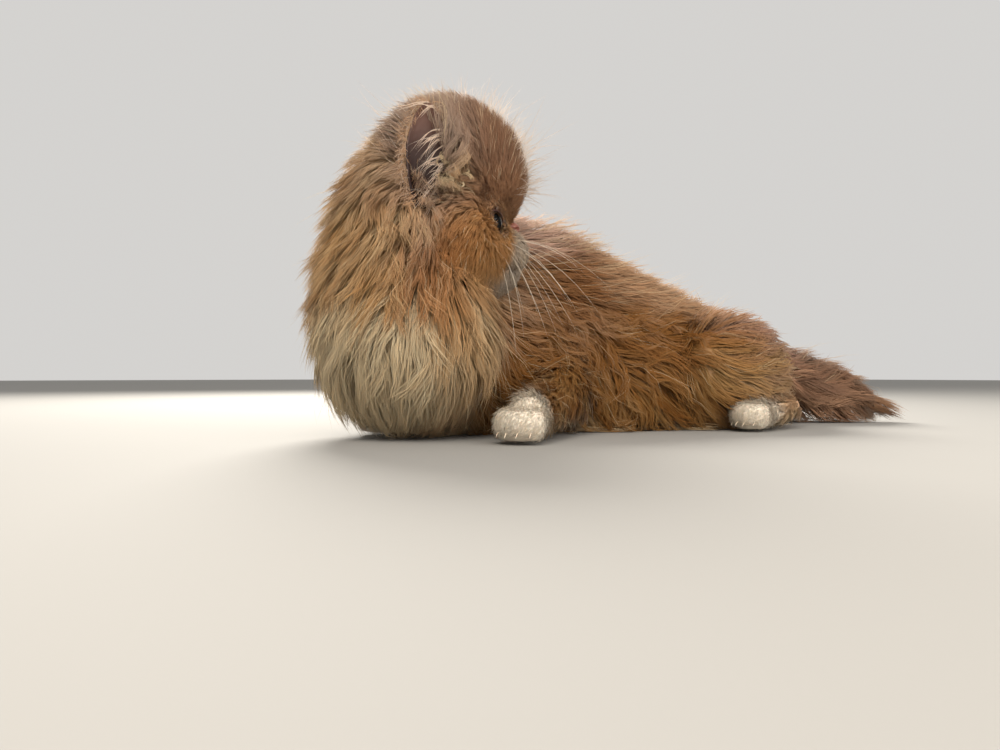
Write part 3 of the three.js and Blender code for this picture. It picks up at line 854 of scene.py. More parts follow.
@dataclass
class Skin:
    """The cat's bare skin, fused from its forms, with what the coat needs at each vertex."""

    forms: list[Form]
    voxel: float = 2.4
    swell: float = 0.36
    large: tuple[Region, ...] = (Region.HEAD, Region.TORSO, Region.RUFF)
    broad: tuple[Region, ...] = (Region.TORSO, Region.THIGH_LEFT, Region.THIGH_RIGHT)
    lift: float = 0.5
    mesh: bpy.types.Mesh = field(init=False)
    points: Array = field(init=False)
    normals: Array = field(init=False)
    weights: Array = field(init=False)
    reach: Array = field(init=False)
    unwrap: Array = field(init=False)
    lie: Array = field(init=False)
    samples: list[tuple[Form, Array, Array, Array]] = field(init=False)

    def build(self) -> None:
        """Fuses the forms, shapes the face, and fills in the fields."""
        self.fuse()
        self.shape_face()
        self.label()
        self.fill_out()
        self.comb()

    def fuse(self) -> None:
        """Wraps a sphere round each form and joins them by a voxel remesh."""
        bm = bmesh.new()
        self.samples = []
        for form in self.forms:
            around, along = (72, 48) if form.region in self.large else (28, 20)
            verts = bmesh.ops.create_uvsphere(
                bm, u_segments=around, v_segments=along, radius=1.0
            )["verts"]
            ball = np.array([vert.co for vert in verts])
            u = np.arccos(np.clip(ball[:, 2], -1, 1)) / np.pi
            v = np.arctan2(ball[:, 1], ball[:, 0]) / (2 * np.pi) % 1
            points = form.skin(u, v)
            self.samples.append((form, u, v, points))
            move(verts, points)
        bmesh.ops.recalc_face_normals(bm, faces=bm.faces)
        rough = bpy.data.meshes.new("fused")
        bm.to_mesh(rough)
        bm.free()
        blank = bpy.data.objects.new("fused", rough)
        bpy.context.collection.objects.link(blank)
        remesh = blank.modifiers.new("fuse", "REMESH")
        remesh.mode = "VOXEL"
        remesh.voxel_size = self.voxel * MM
        depsgraph = bpy.context.evaluated_depsgraph_get()
        self.mesh = bpy.data.meshes.new_from_object(blank.evaluated_get(depsgraph))
        self.mesh.name = "skin"
        bpy.data.objects.remove(blank)
        bpy.data.meshes.remove(rough)
        place(self.mesh, smoothed(points_of(self.mesh), edges_of(self.mesh), 6))

    def shape_face(self) -> None:
        """Refines the face, draws it onto the head's form and cuts in sockets and mouth."""
        bm = bmesh.new()
        bm.from_mesh(self.mesh)
        local = HEAD.into(np.array([vert.co for vert in bm.verts]) / MM)
        on_face = (
            (local[:, 0] > 2) & (local[:, 2] < 4) & (local[:, 2] > -66) & (np.abs(local[:, 1]) < 38)
        )
        near = np.abs(HEAD_FORM.depth(local)) < 4
        chosen = on_face & near
        bm.verts.ensure_lookup_table()
        edges = [
            edge for edge in bm.edges if chosen[edge.verts[0].index] and chosen[edge.verts[1].index]
        ]
        bmesh.ops.subdivide_edges(bm, edges=edges, cuts=2, use_grid_fill=True)
        bmesh.ops.triangulate(bm, faces=[face for face in bm.faces if len(face.verts) > 4])
        bm.to_mesh(self.mesh)
        bm.free()
        points = points_of(self.mesh)
        local = HEAD.into(points)
        front = ramp(local[:, 0], 0, 10) * ramp(local[:, 2], -68, -58) * ramp(-local[:, 2], -8, 0)
        front *= ramp(-np.abs(local[:, 1]), -40, -34)
        close = np.abs(HEAD_FORM.depth(local)) < 5
        pick = np.flatnonzero((front > 0) & close)
        moved = local[pick]
        for _ in range(5):
            gap = face_depth(moved)
            slope = (
                np.stack(
                    [face_depth(moved + e) - face_depth(moved - e) for e in np.eye(3) * 0.3], axis=1
                )
                / 0.6
            )
            moved = moved - unit(slope) * np.clip(gap, -1.6, 1.6)[:, None]
        local[pick] += (moved - local[pick]) * front[pick][:, None]
        points = HEAD.out(local)
        points[:, 2] = np.maximum(points[:, 2], self.lift)
        place(self.mesh, points)

    def label(self) -> None:
        """Gives each vertex its shares of the regions, its coat's reach and its unwrap."""
        self.points = points_of(self.mesh)
        self.normals = normals_of(self.mesh)
        count = len(self.points)
        gaps = np.full((count, len(Region)), 60.0)
        reach = np.zeros((count, len(Region)))
        spots = np.zeros((count, len(Region), 2))
        for region in Region:
            clouds = [(f, u, v, p) for f, u, v, p in self.samples if f.region is region]
            cloud = np.concatenate([p for _, _, _, p in clouds])
            depth = np.concatenate([f.reach(u, v) for f, u, v, _ in clouds])
            spot = np.concatenate([np.stack([u, v], axis=1) for _, u, v, _ in clouds])
            tree = KDTree(len(cloud))
            for i, point in enumerate(cloud):
                tree.insert(point, i)
            tree.balance()
            low, high = cloud.min(axis=0) - 22, cloud.max(axis=0) + 22
            inside = np.flatnonzero(np.all((self.points > low) & (self.points < high), axis=1))
            found = [tree.find(point) for point in self.points[inside]]
            index = np.array([hit[1] for hit in found])
            gaps[inside, region.value] = [hit[2] for hit in found]
            reach[inside, region.value] = depth[index]
            spots[inside, region.value] = spot[index]
        nearest = gaps.min(axis=1, keepdims=True)
        weights = np.exp(-(gaps - nearest) / 4.5)
        weights /= weights.sum(axis=1, keepdims=True)
        edges = edges_of(self.mesh)
        self.weights = smoothed(weights, edges, 4)
        self.reach = (
            (self.weights * reach).sum(axis=1)
            / np.maximum((self.weights * (reach > 0)).sum(axis=1), 1e-6)
        )
        local = HEAD.into(self.points)
        self.reach *= (
            1
            + 0.4
            * bump_at(local[:, 2], -12, 26)
            * ramp(-local[:, 0], 12, 34)
            * ramp(-self.normals[:, 0], -0.3, 0.4)
        )
        brow = np.linalg.norm((local - row(24, 0, 30)) / row(20, 34, 20), axis=1)
        self.reach += 5.0 * bump_at(brow, 0, 0.9) * self.weights[:, Region.HEAD.value]
        self.unwrap = spots[np.arange(count), gaps.argmin(axis=1)]

    def fill_out(self) -> None:
        """Moves the skin out by part of the long coat's depth, as far as the coat's core goes."""
        local = HEAD.into(self.points)
        calm = np.ones(len(local))
        for mirror in (1, -1):
            ear = (local - EAR_HOLLOW * row(1, mirror, 1)) / row(20, 18, 34)
            calm *= ramp(np.linalg.norm(ear, axis=1), 0.7, 1.3)
        edges = edges_of(self.mesh)
        step = self.reach * self.swell * ramp(self.reach, 7, 14) * calm
        step = smoothed(step[:, None], edges, 8)
        moved = self.points + self.normals * step
        share = ramp(step, 0.5, 2.0)
        moved = moved * (1 - share) + smoothed(moved, edges, 5) * share
        # The haunch is evened out further, so that its fur lies in one flow.
        share = self.weights[:, [region.value for region in self.broad]].sum(axis=1)
        broad = (ramp(share, 0.6, 0.95) * ramp(moved[:, 0], 0, 30))[:, None]
        moved = moved * (1 - broad) + smoothed(moved, edges, 40) * broad
        moved[:, 2] = np.maximum(moved[:, 2], self.lift)
        place(self.mesh, moved)
        self.points = moved
        self.normals = normals_of(self.mesh)
        self.reach = self.reach - step[:, 0]

    def comb(self) -> None:
        """Lays the coat: a direction along the skin at each vertex."""
        points, normals = self.points, self.normals
        local = HEAD.into(points)
        ways = np.zeros((len(points), len(Region), 3))
        # The torso's fur runs tailwards and sinks on the flanks, with swirls low down.
        side = 1 - np.abs(normals[:, 2:3])
        fore = ramp(-points[:, 0:1], -70, 30)
        back = TAILWARD + DOWN * (0.16 + (0.12 + 0.66 * fore) * side)
        back = back + DOWN * 1.6 * ramp(-normals[:, 0:1], 0.15, 0.7)
        swirl = waves(points, 30, 17)[:, None] * ramp(-points[:, 2:3], -92, -50)
        ways[:, Region.TORSO.value] = back + swirl * np.cross(normals, back)
        # The ruff hangs from the neck.
        outward = unit((points - row(-157, 2, 0)) * row(1, 1, 0))
        hang = DOWN + CHEST_WAY * 0.15 + outward * 0.9 * np.maximum(normals[:, 2:3], 0)
        hang = hang + TAILWARD * 0.7 * ramp(normals[:, 0:1], 0.1, 0.9)
        ways[:, Region.RUFF.value] = (
            hang + 0.25 * waves(points, 24, 18)[:, None] * np.cross(normals, DOWN)
        )
        # The head's fur fans out from the nose, round the eyes and the ears.
        away = unit(local - row(40, 0, -26))
        fall = 1.1 * ramp(-local[:, 2], -14, 40) + 1.3 * ramp(-local[:, 0], 0, 34)
        head = away + row(0, 0, -1) * fall[:, None]
        for mirror in (1, -1):
            from_eye = local - EYE_PLACE * row(1, mirror, 1)
            close = bump_at(np.linalg.norm(from_eye, axis=1), 11, 8)[:, None]
            head = head + unit(from_eye) * close * 0.9
            from_ear = (local - EAR_HOLLOW * row(1, mirror, 1)) / row(1, 1, 1.6)
            close = ramp(-np.linalg.norm(from_ear, axis=1), -27, -15)[:, None]
            head = head + unit(from_ear) * close * 3.0
        ways[:, Region.HEAD.value] = HEAD.turn(head)
        # The tail's, thighs' and legs' fur follows their length.
        along = np.clip((points[:, 0] - 136) / 102, 0, 1)
        tail = TAIL_LINE.tangent(along)
        ways[:, Region.TAIL.value] = tail + DOWN * 0.15
        for region in (Region.THIGH_LEFT, Region.THIGH_RIGHT):
            drop = DOWN * (0.3 + 0.8 * ramp(-normals[:, 0:1], 0.2, 0.8))
            ways[:, region.value] = (
                TAILWARD
                + drop
                + 0.25 * waves(points, 26, 19)[:, None] * np.cross(normals, TAILWARD)
            )
        for region, path in (
            (Region.FORE_LEFT, FORE_LEFT),
            (Region.FORE_RIGHT, FORE_RIGHT),
            (Region.HIND_LEFT, HIND_LEFT),
            (Region.HIND_RIGHT, HIND_RIGHT),
        ):
            ways[:, region.value] = unit(row(*path[2]) - row(*path[0])) + DOWN * 0.25
        ways[:, Region.TOES.value] = unit(row(-1, -0.35, -0.5))
        lie = (unit(ways) * self.weights[:, :, None]).sum(axis=1)
        lie = unit(lie - normals * dots(lie, normals))
        edges = edges_of(self.mesh)
        even = smoothed(lie, edges, 50)
        body = (
            1
            - ramp(
                self.weights[:, Region.HEAD.value] + self.weights[:, Region.TOES.value], 0.1, 0.7
            )[:, None]
        )
        lie = smoothed(lie, edges, 5) * (1 - body) + even * body
        self.lie = unit(lie - normals * dots(lie, normals))

    def dress(self, material: bpy.types.Material) -> bpy.types.Object:
        """Paints the skin with the coat's markings, darkened as painted shade under long fur, and
        puts it in place of the flesh.

        Args:
            material: The skin's finish.

        Returns:
            The skin's object.
        """
        local = HEAD.into(self.points)
        local[:, 1] = np.abs(local[:, 1])
        # The bare lids are darker than the fur round them; the skin under long fur is darkened as
        # painted shade of the coat over it.
        lids = ramp(-np.linalg.norm(local - EYE_PLACE, axis=1), -20, -16)
        deep = (0.95 - 0.12 * ramp(self.reach, 5, 10)) * (1 - 0.6 * lids)
        paint(self.mesh, markings(self.points, self.weights) * deep[:, None])
        self.mesh.polygons.foreach_set("use_smooth", [True] * len(self.mesh.polygons))
        piece = new_object("skin", self.mesh, material)
        legs = [f"leg_{pair}_{side}" for pair in ("fore", "hind") for side in ("left", "right")]
        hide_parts("head", "neck", "torso", "tail", *legs)
        return piece


HEAD_FORM = HeadForm()


def eye_axes(mirror: int, splay: float = EYE_SPLAY) -> Array:
    """Returns an eye's own axes in the head's: its gaze, its width and its height.

    Args:
        mirror: 1 for the left eye and -1 for the right.
        splay: How far the gaze turns outwards, in radians.

    Returns:
        Three rows.
    """
    gaze = row(math.cos(splay), math.sin(splay) * mirror, 0)
    across = row(-math.sin(splay) * mirror, math.cos(splay), 0) * mirror
    tilt = math.radians(-20)
    wide = across * math.cos(tilt) + UP * -math.sin(tilt)
    return np.array([gaze, wide, np.cross(gaze, wide) * mirror])


LID_HALF = 8.8
LID_HIGH = 6.8


def lid_arch(along: Array) -> Array:
    """Returns the height of the lids' edge at places along the eye, from -1 to 1."""
    return LID_HIGH * np.sqrt(np.maximum(0, 1 - np.abs(along) ** 2.2))


def lid_edge(wide: Array, high: Array) -> Array:
    """Measures how far points, seen along the gaze, lie outside the opening between the lids.

    Args:
        wide: Places along the eye's width.
        high: Places along its height.

    Returns:
        Millimetres, below 0 in the opening.
    """
    past = np.abs(high) - lid_arch(np.clip(wide / LID_HALF, -1, 1))
    return np.maximum(past, np.abs(wide) - LID_HALF)


def face_depth(local: Array) -> Array:
    """Returns about how far points lie outside the face, with its lids, sockets, nose and mouth.

    Args:
        local: Points in the head's axes.

    Returns:
        Millimetres, below 0 inside.
    """
    depth = HEAD_FORM.depth(local)
    side = np.abs(local[:, 1])
    blend, lid_thick, socket_gap = 2.2, 1.7, 1.0
    for mirror in (1, -1):
        eye = (local - EYE_PLACE * row(1, mirror, 1)) @ eye_axes(mirror).T
        far = np.linalg.norm(eye, axis=1)
        seen = lid_edge(eye[:, 1], eye[:, 2])
        # The lids stand out over the ball.
        shell = far - (EYE_RADIUS + lid_thick)
        bulge = np.exp(-np.clip(shell, -40, 40) / blend) * ramp(eye[:, 0], 0, 4)
        merged = -blend * np.log(np.exp(-np.clip(depth, -40, 40) / blend) + bulge)
        depth = np.where(far < 26, merged, depth)
        # Between the lids the skin goes behind the ball.
        cut = np.maximum(np.maximum(depth, -seen * 0.9), EYE_RADIUS - socket_gap - far)
        depth = np.where((far < 22) & (eye[:, 0] > 0) & (seen < 0), cut, depth)
    cleft = bump_at(side, 0, 1.1) * bump_at(local[:, 2], -37, 7.0) * ramp(local[:, 0], 30, 34)
    mouth_line = 49.5 - 4.2 * np.exp(-((side / 5) ** 2)) + 0.004 * side**2
    mouth = bump_at(local[:, 2] + mouth_line, 0, 1.2)
    mouth *= ramp(local[:, 0], 12, 20) * ramp(-side, -24, -17)
    puff = bump_at(np.hypot(side - 8, local[:, 2] + 45.5), 0, 7) * ramp(local[:, 0], 20, 30)
    return depth + 1.6 * cleft + 2.0 * mouth - 0.8 * puff


@dataclass(frozen=True)
class Style:
    """How the fur grows in one area: per square centimetre, and in millimetres."""

    density: float
    length: float
    width: float
    rise: float
    clump: float
    gather: float
    wave: float
    freedom: float

    def values(self) -> Array:
        """Returns the style's numbers as one row."""
        return row(*astuple(self))


# The columns of a table of styles.
DENSITY, LENGTH, WIDTH, RISE, CLUMP, GATHER, WAVE, FREEDOM = range(8)


class Fur(Enum):
    """The areas of the coat, each with its own style."""

    MUZZLE = Style(330, 4.2, 0.40, 0.6, 1.0, 0.1, 0.0, 0.2)
    FACE = Style(215, 7.0, 0.38, 0.95, 1.4, 0.05, 0.2, 0.2)
    BROW = Style(180, 8.5, 0.40, 1.35, 1.5, 0.04, 0.3, 0.25)
    CROWN = Style(108, 13.5, 0.46, 1.6, 1.9, 0.06, 0.4, 0.3)
    CHEEK = Style(80, 23.0, 0.52, 1.3, 2.6, 0.35, 1.8, 0.4)
    JOWL = Style(170, 11.0, 0.38, 1.15, 1.7, 0.05, 0.3, 0.2)
    RUFF = Style(54, 38.0, 0.56, 1.3, 3.5, 0.38, 2.4, 0.45)
    BACK = Style(34, 34.0, 0.70, 1.25, 3.8, 0.32, 1.8, 0.35)
    FLANK = Style(27, 36.0, 0.78, 1.15, 4.6, 0.4, 2.8, 0.35)
    TAIL = Style(66, 44.0, 0.65, 1.2, 4.2, 0.3, 2.0, 0.5)
    THIGH = Style(28, 34.0, 0.8, 1.15, 4.4, 0.4, 2.2, 0.35)
    LEG = Style(36, 20.0, 0.60, 0.9, 2.6, 0.3, 0.6, 0.3)
    PAW = Style(90, 4.0, 0.40, 0.6, 1.0, 0.03, 0.0, 0.1)


def fur_shares(skin: Skin) -> Array:
    """Gives each skin vertex its share of each area of fur.

    Args:
        skin: The finished skin.

    Returns:
        One row for each vertex and one column for each area.
    """
    local = HEAD.into(skin.points)
    f, side, up = local[:, 0], np.abs(local[:, 1]), local[:, 2]
    part = {region: skin.weights[:, region.value] for region in Region}
    head = part[Region.HEAD]
    z = skin.points[:, 2]
    shares = {fur: np.zeros(len(f)) for fur in Fur}
    muzzle = ramp(f, 24, 31) * ramp(-up, 12, 20) * ramp(-side, -26, -18)
    face = ramp(f, 4, 18) * ramp(-up, 0, 12) * (1 - muzzle)
    brow = ramp(f, 6, 24) * ramp(up, -12, 0) * (1 - muzzle)
    rest = np.clip(1 - muzzle - face - brow, 0, 1)
    low = ramp(-up, 0, 22)
    shares[Fur.MUZZLE] = head * muzzle
    shares[Fur.FACE] = head * face
    shares[Fur.BROW] = head * brow
    shares[Fur.CROWN] = head * rest * (1 - low)
    jowl = ramp(f, -17, -5)
    shares[Fur.CHEEK] = head * rest * low * (1 - jowl)
    shares[Fur.JOWL] = head * rest * low * jowl
    shares[Fur.RUFF] = part[Region.RUFF]
    shares[Fur.BACK] = part[Region.TORSO] * ramp(z, 55, 95)
    shares[Fur.FLANK] = part[Region.TORSO] * (1 - ramp(z, 55, 95))
    shares[Fur.TAIL] = part[Region.TAIL]
    shares[Fur.THIGH] = part[Region.THIGH_LEFT] + part[Region.THIGH_RIGHT]
    x = skin.points[:, 0]
    feet = (
        (Region.FORE_LEFT, -103),
        (Region.FORE_RIGHT, -140),
        (Region.HIND_LEFT, 84),
        (Region.HIND_RIGHT, 84),
    )
    shares[Fur.PAW] = part[Region.TOES].copy()
    for region, wrist in feet:
        foot = ramp(wrist - x, 0, 14)
        shares[Fur.PAW] += part[region] * foot
        shares[Fur.LEG] += part[region] * (1 - foot)
    table = np.stack([shares[fur] for fur in Fur], axis=1)
    return table / np.maximum(table.sum(axis=1, keepdims=True), 1e-6)


def bare_places(skin: Skin) -> Array:
    """Finds where no fur grows: eye openings, nose, ear hollows and the side on the floor.

    Args:
        skin: The finished skin.

    Returns:
        0 where no fur grows and 1 where all of it does.
    """
    local = HEAD.into(skin.points)
    keep = np.ones(len(local))
    for mirror in (1, -1):
        eye = (local - EYE_PLACE * row(1, mirror, 1)) @ eye_axes(mirror).T
        near = (np.linalg.norm(eye, axis=1) < 20) & (eye[:, 0] > 0)
        keep *= np.where(near, ramp(lid_edge(eye[:, 1], eye[:, 2]), 0.5, 1.4), 1)
        ear = local - EAR_HOLLOW * row(1, mirror, 1)
        keep *= ramp(np.linalg.norm(ear / EAR_OVAL, axis=1), 0.85, 1.0)
    nose = np.linalg.norm((local - row(35, 0, -23.5)) / row(9, 6.6, 4.8), axis=1)
    keep *= ramp(nose, 0.9, 1.15)
    keep *= ramp(skin.points[:, 2], 1.0, 4.0)
    return keep


BAKE_PATCH = 0.003
PER_TUFT = ("nodes", "widths", "normals", "colours", "spots")


@dataclass
class Strands:
    """Many tufts as arrays: the points along each, and what each looks like."""

    nodes: Array
    widths: Array
    normals: Array
    colours: Array
    spots: Array
    softness: float = 0.82
    # How much the roots are darkened, as painted shade, and the tips lightened.
    tips: float = 0.16

    def pick(self, chosen: Array) -> Strands:
        """Returns some of the tufts."""
        return replace(self, **{name: getattr(self, name)[chosen] for name in PER_TUFT})

    def thinned(self, stops: Sequence[int]) -> Strands:
        """Returns the tufts with only some of the points along them."""
        return replace(self, nodes=self.nodes[:, stops], normals=self.normals[:, stops])

    def softened(self, softness: float, tips: float) -> Strands:
        """Returns the tufts shaded more like the skin below them, with roots darker as painted
        shade and tips lighter, by a share.
        """
        return replace(self, softness=softness, tips=tips)

    def mesh(self, name: str, seed: int) -> bpy.types.Mesh:
        """Makes each tuft a closed flat three-sided blade that tapers to a point.

        Args:
            name: The mesh's name.
            seed: The seed of the blades' roll and shade.

        Returns:
            The joined mesh, with its colours and its OFBake map.
        """
        random = np.random.default_rng(seed)
        count, stops = self.nodes.shape[:2]
        rings = stops - 1
        taper = np.interp(np.linspace(0, 1, stops)[:-1], [0, 0.35, 0.7, 1], [0.75, 1.0, 0.72, 0.0])
        ahead = np.empty_like(self.nodes)
        ahead[:, :-1] = self.nodes[:, 1:] - self.nodes[:, :-1]
        ahead[:, -1] = ahead[:, -2]
        ahead = unit(ahead)
        roll = random.normal(0, 0.5, (count, 1, 1))
        flat = unit(np.cross(ahead, self.normals))
        over = np.cross(flat, ahead)
        side = flat * np.cos(roll) + over * np.sin(roll)
        over = over * np.cos(roll) - flat * np.sin(roll)
        half = (self.widths[:, None] * taper)[:, :, None] * 0.5
        thick = half * 0.6
        base, side, over = self.nodes[:, :-1], side[:, :-1], over[:, :-1]
        corners = np.stack(
            [
                base - side * half - over * thick * 0.5,
                base + side * half - over * thick * 0.5,
                base + over * thick,
            ],
            axis=2,
        )
        per = rings * 3 + 1
        verts = np.concatenate([corners.reshape(count, rings * 3, 3), self.nodes[:, -1:]], axis=1)
        pattern, sizes = blade_faces(rings)
        loops = (pattern[None, :] + (np.arange(count) * per)[:, None]).ravel()
        starts = np.concatenate([[0], np.cumsum(sizes)])[:-1]
        loop_start = (starts[None, :] + (np.arange(count) * len(pattern))[:, None]).ravel()
        mesh = bpy.data.meshes.new(name)
        mesh.vertices.add(count * per)
        mesh.vertices.foreach_set("co", (verts.reshape(-1, 3) * MM).astype(np.float32).ravel())
        mesh.loops.add(len(loops))
        mesh.loops.foreach_set("vertex_index", loops.astype(np.int32))
        mesh.polygons.add(count * len(sizes))
        mesh.polygons.foreach_set("loop_start", loop_start.astype(np.int32))
        mesh.update(calc_edges=True)
        mesh.polygons.foreach_set("use_smooth", np.ones(count * len(sizes), dtype=bool))
        outward = np.stack([-side - over * 0.5, side - over * 0.5, over], axis=2)
        outward = outward.reshape(count, rings * 3, 3)
        outward = np.concatenate([outward, self.normals[:, -1:]], axis=1)
        ground = np.concatenate(
            [np.repeat(self.normals[:, :-1], 3, axis=1), self.normals[:, -1:]], axis=1
        )
        # Tufts are shaded partly like the skin below, which evens out the light on the coat.
        soft = unit(unit(outward) * (1 - self.softness) + ground * self.softness)
        mesh.normals_split_custom_set_from_vertices(soft.reshape(-1, 3).tolist())
        # Each tuft is a little lighter or darker and warmer or cooler than its neighbours.
        shade = np.exp(random.normal(0, 0.055, (count, 1, 1)))
        warm = 1 + random.normal(0, 0.03, (count, 1, 1)) * row(1, 0, -1)
        # Each tuft darkens towards its root, painted shade deep in the coat, and lightens towards
        # its tip.
        along = np.concatenate([np.repeat(np.linspace(0, 1, stops)[:-1], 3), [1.0]])
        light = (0.98 - 0.5 * self.tips + self.tips * along**0.8)[None, :, None]
        paint(mesh, np.clip(self.colours[:, None, :] * shade * warm * light, 0, 1).reshape(-1, 3))
        across = np.concatenate([np.tile([0.0, 0.5, 1.0], rings), [0.5]])
        patch = np.stack([across, along], axis=1) * BAKE_PATCH
        spread = 0.01 + 0.977 * self.spots
        places = (spread[:, None, :] + patch[None]).reshape(-1, 2)
        bake_map = mesh.uv_layers.new(name="OFBake")
        bake_map.data.foreach_set("uv", places[loops].astype(np.float32).ravel())
        return mesh


def blade_faces(rings: int) -> tuple[Array, Array]:
    """Lists one blade's faces, outwards.

    Args:
        rings: How many three-cornered rings it has before its tip.

    Returns:
        The corner numbers of all its faces, and each face's number of corners.
    """
    corners = [0, 1, 2]
    sizes = [3]
    for ring in range(rings - 1):
        for k in range(3):
            j = (k + 1) % 3
            a, b = 3 * ring, 3 * ring + 3
            corners += [a + j, a + k, b + k, b + j]
            sizes.append(4)
    last, tip = 3 * (rings - 1), 3 * rings
    for k in range(3):
        corners += [last + (k + 1) % 3, last + k, tip]
        sizes.append(3)
    return np.array(corners), np.array(sizes)


@dataclass
class Coat:
    """The long and short fur that grows from the skin, in clumps that follow its lie."""

    skin: Skin
    seed: int = 4
    steps: int = 8
    clearance: float = 0.9

    def prepare(self) -> None:
        """Reads the skin's triangles and the style of the fur at each vertex."""
        mesh = self.skin.mesh
        mesh.calc_loop_triangles()
        corners = np.empty(len(mesh.loop_triangles) * 3, dtype=np.int32)
        mesh.loop_triangles.foreach_get("vertices", corners)
        self.triangles = corners.reshape(-1, 3)
        a, b, c = (self.skin.points[self.triangles[:, k]] for k in range(3))
        self.areas = np.linalg.norm(np.cross(b - a, c - a), axis=1) / 2
        self.tree = BVHTree.FromPolygons(
            self.skin.points.tolist(), self.triangles.tolist(), all_triangles=True
        )
        shares = fur_shares(self.skin)
        self.shares = shares
        table = np.stack([fur.value.values() for fur in Fur])
        self.styles = np.exp(shares @ np.log(np.maximum(table, 1e-3)))
        under = 0.1 + 0.9 * ramp(self.skin.normals[:, 2], -0.9, -0.55)
        self.styles[:, DENSITY] *= bare_places(self.skin) * under
        end = self.skin.weights[:, Region.TAIL.value] * ramp(self.skin.points[:, 0], 165, 225)
        self.styles[:, RISE] *= 1 - 0.55 * end
        self.styles[:, LENGTH] *= 1 - 0.25 * end
        local = HEAD.into(self.skin.points)
        for mirror in (1, -1):
            gap = np.linalg.norm(local - EYE_PLACE * row(1, mirror, 1), axis=1)
            self.styles[:, LENGTH] *= 0.42 + 0.58 * ramp(gap, 12, 24)
            self.styles[:, RISE] *= 0.35 + 0.65 * ramp(gap, 12, 22)
            self.styles[:, DENSITY] *= 1.6 - 0.6 * ramp(gap, 13, 20)

    def sow(self, random: np.random.Generator, density: Array) -> tuple[Array, Array]:
        """Scatters roots over the skin.

        Args:
            random: The source of random numbers.
            density: Roots per square centimetre at each vertex.

        Returns:
            The triangle of each root and its weights at the triangle's corners.
        """
        mass = self.areas / 100 * density[self.triangles].mean(axis=1)
        total = np.cumsum(mass)
        count = int(total[-1])
        shots = (np.arange(count) + random.random(count)) * total[-1] / count
        index = np.minimum(np.searchsorted(total, shots), len(total) - 1)
        r, s = np.sqrt(random.random(count)), random.random(count)
        return index, np.stack([1 - r, r * (1 - s), r * s], axis=1)

    def read(self, values: Array, index: Array, shares: Array) -> Array:
        """Reads values of the skin's vertices at roots."""
        return np.einsum("ij,ij...->i...", shares, values[self.triangles[index]])

    def guides(self, random: np.random.Generator) -> None:
        """Grows one path for each clump, which its tufts then follow.

        Args:
            random: The source of random numbers.
        """
        clump = self.styles[:, CLUMP]
        density = np.where(self.styles[:, DENSITY] > 3, 100 / (math.pi * clump**2), 0)
        index, shares = self.sow(random, density)
        root = self.read(self.skin.points, index, shares)
        style = self.read(self.styles, index, shares)
        reach = self.read(self.skin.reach, index, shares)
        normal = unit(self.read(self.skin.normals, index, shares))
        count = len(root)
        length = style[:, LENGTH] * random.uniform(0.82, 1.15, count)
        uneven = 0.25 + 0.75 * ramp(style[:, GATHER], 0.1, 0.35)
        rise = reach * style[:, RISE] * (1 - random.uniform(-0.12, 0.32, count) * uneven)
        phase = random.uniform(0, 2 * math.pi, count)
        beat = length / random.uniform(20, 34, count)
        path, ups = [root], [normal]
        ahead = unit(self.read(self.skin.lie, index, shares))
        curled = self.read(self.shares, index, shares)[:, list(Fur).index(Fur.FLANK)]
        loose = style[:, FREEDOM] / 0.4 * (1 + 1.6 * curled)
        first = (random.normal(0, 0.2, count) + 0.3 * waves(root, 12, 21)) * loose
        last = (random.normal(0, 0.32, count) + 0.3 * waves(root, 16, 22)) * loose
        hang = ramp(-normal[:, 2], -0.15, 0.5)[:, None] * (style[:, LENGTH, None] > 24)
        walk = root.copy()
        step = (length / (self.steps - 1))[:, None]
        freedom = style[:, FREEDOM, None]
        for k in range(1, self.steps):
            walk = walk + ahead * step
            hits = [self.tree.find_nearest(point) for point in walk.tolist()]
            foot = np.array([hit[0] for hit in hits])
            corner = self.triangles[[hit[2] for hit in hits], 0]
            up = self.skin.normals[corner]
            share = (k / (self.steps - 1)) ** 0.85
            angle = (first * (1 - share) + last * share)[:, None]
            way = self.skin.lie[corner]
            way = way * np.cos(angle) + np.cross(up, way) * np.sin(angle)
            held = foot + up * (rise * share)[:, None]
            onward = unit(path[-1] - path[-2] if k > 1 else ahead + normal * 0.5)
            free = path[-1] + unit(onward + DOWN * 0.5 * hang) * step
            loosed = np.minimum(freedom + 0.42 * hang, 0.95)
            spot = held * (1 - loosed) + free * loosed if k > 1 else held
            side = np.cross(up, way)
            swing = style[:, WAVE] * share * np.sin(phase + beat * 2 * math.pi * share)
            spot = spot + side * swing[:, None] * 0.7
            spot[:, 2] = np.maximum(spot[:, 2], 1.2)
            path.append(spot)
            ups.append(up)
            ahead = unit(ahead * 0.45 + way * 0.75)
            walk = foot
        self.paths = np.stack(path, axis=1)
        self.ups = np.stack(ups, axis=1)
        self.guide_tree = KDTree(count)
        for i, point in enumerate(root):
            self.guide_tree.insert(point, i)
        self.guide_tree.balance()
        self.guide_shade = np.exp(random.normal(0, 0.05, count))
        self.guide_area = self.read(self.shares, index, shares).argmax(axis=1)
        self.guide_colours = markings(root, self.read(self.skin.weights, index, shares))
        self.guide_spots = self.skin.unwrap[self.triangles[index, 0]]

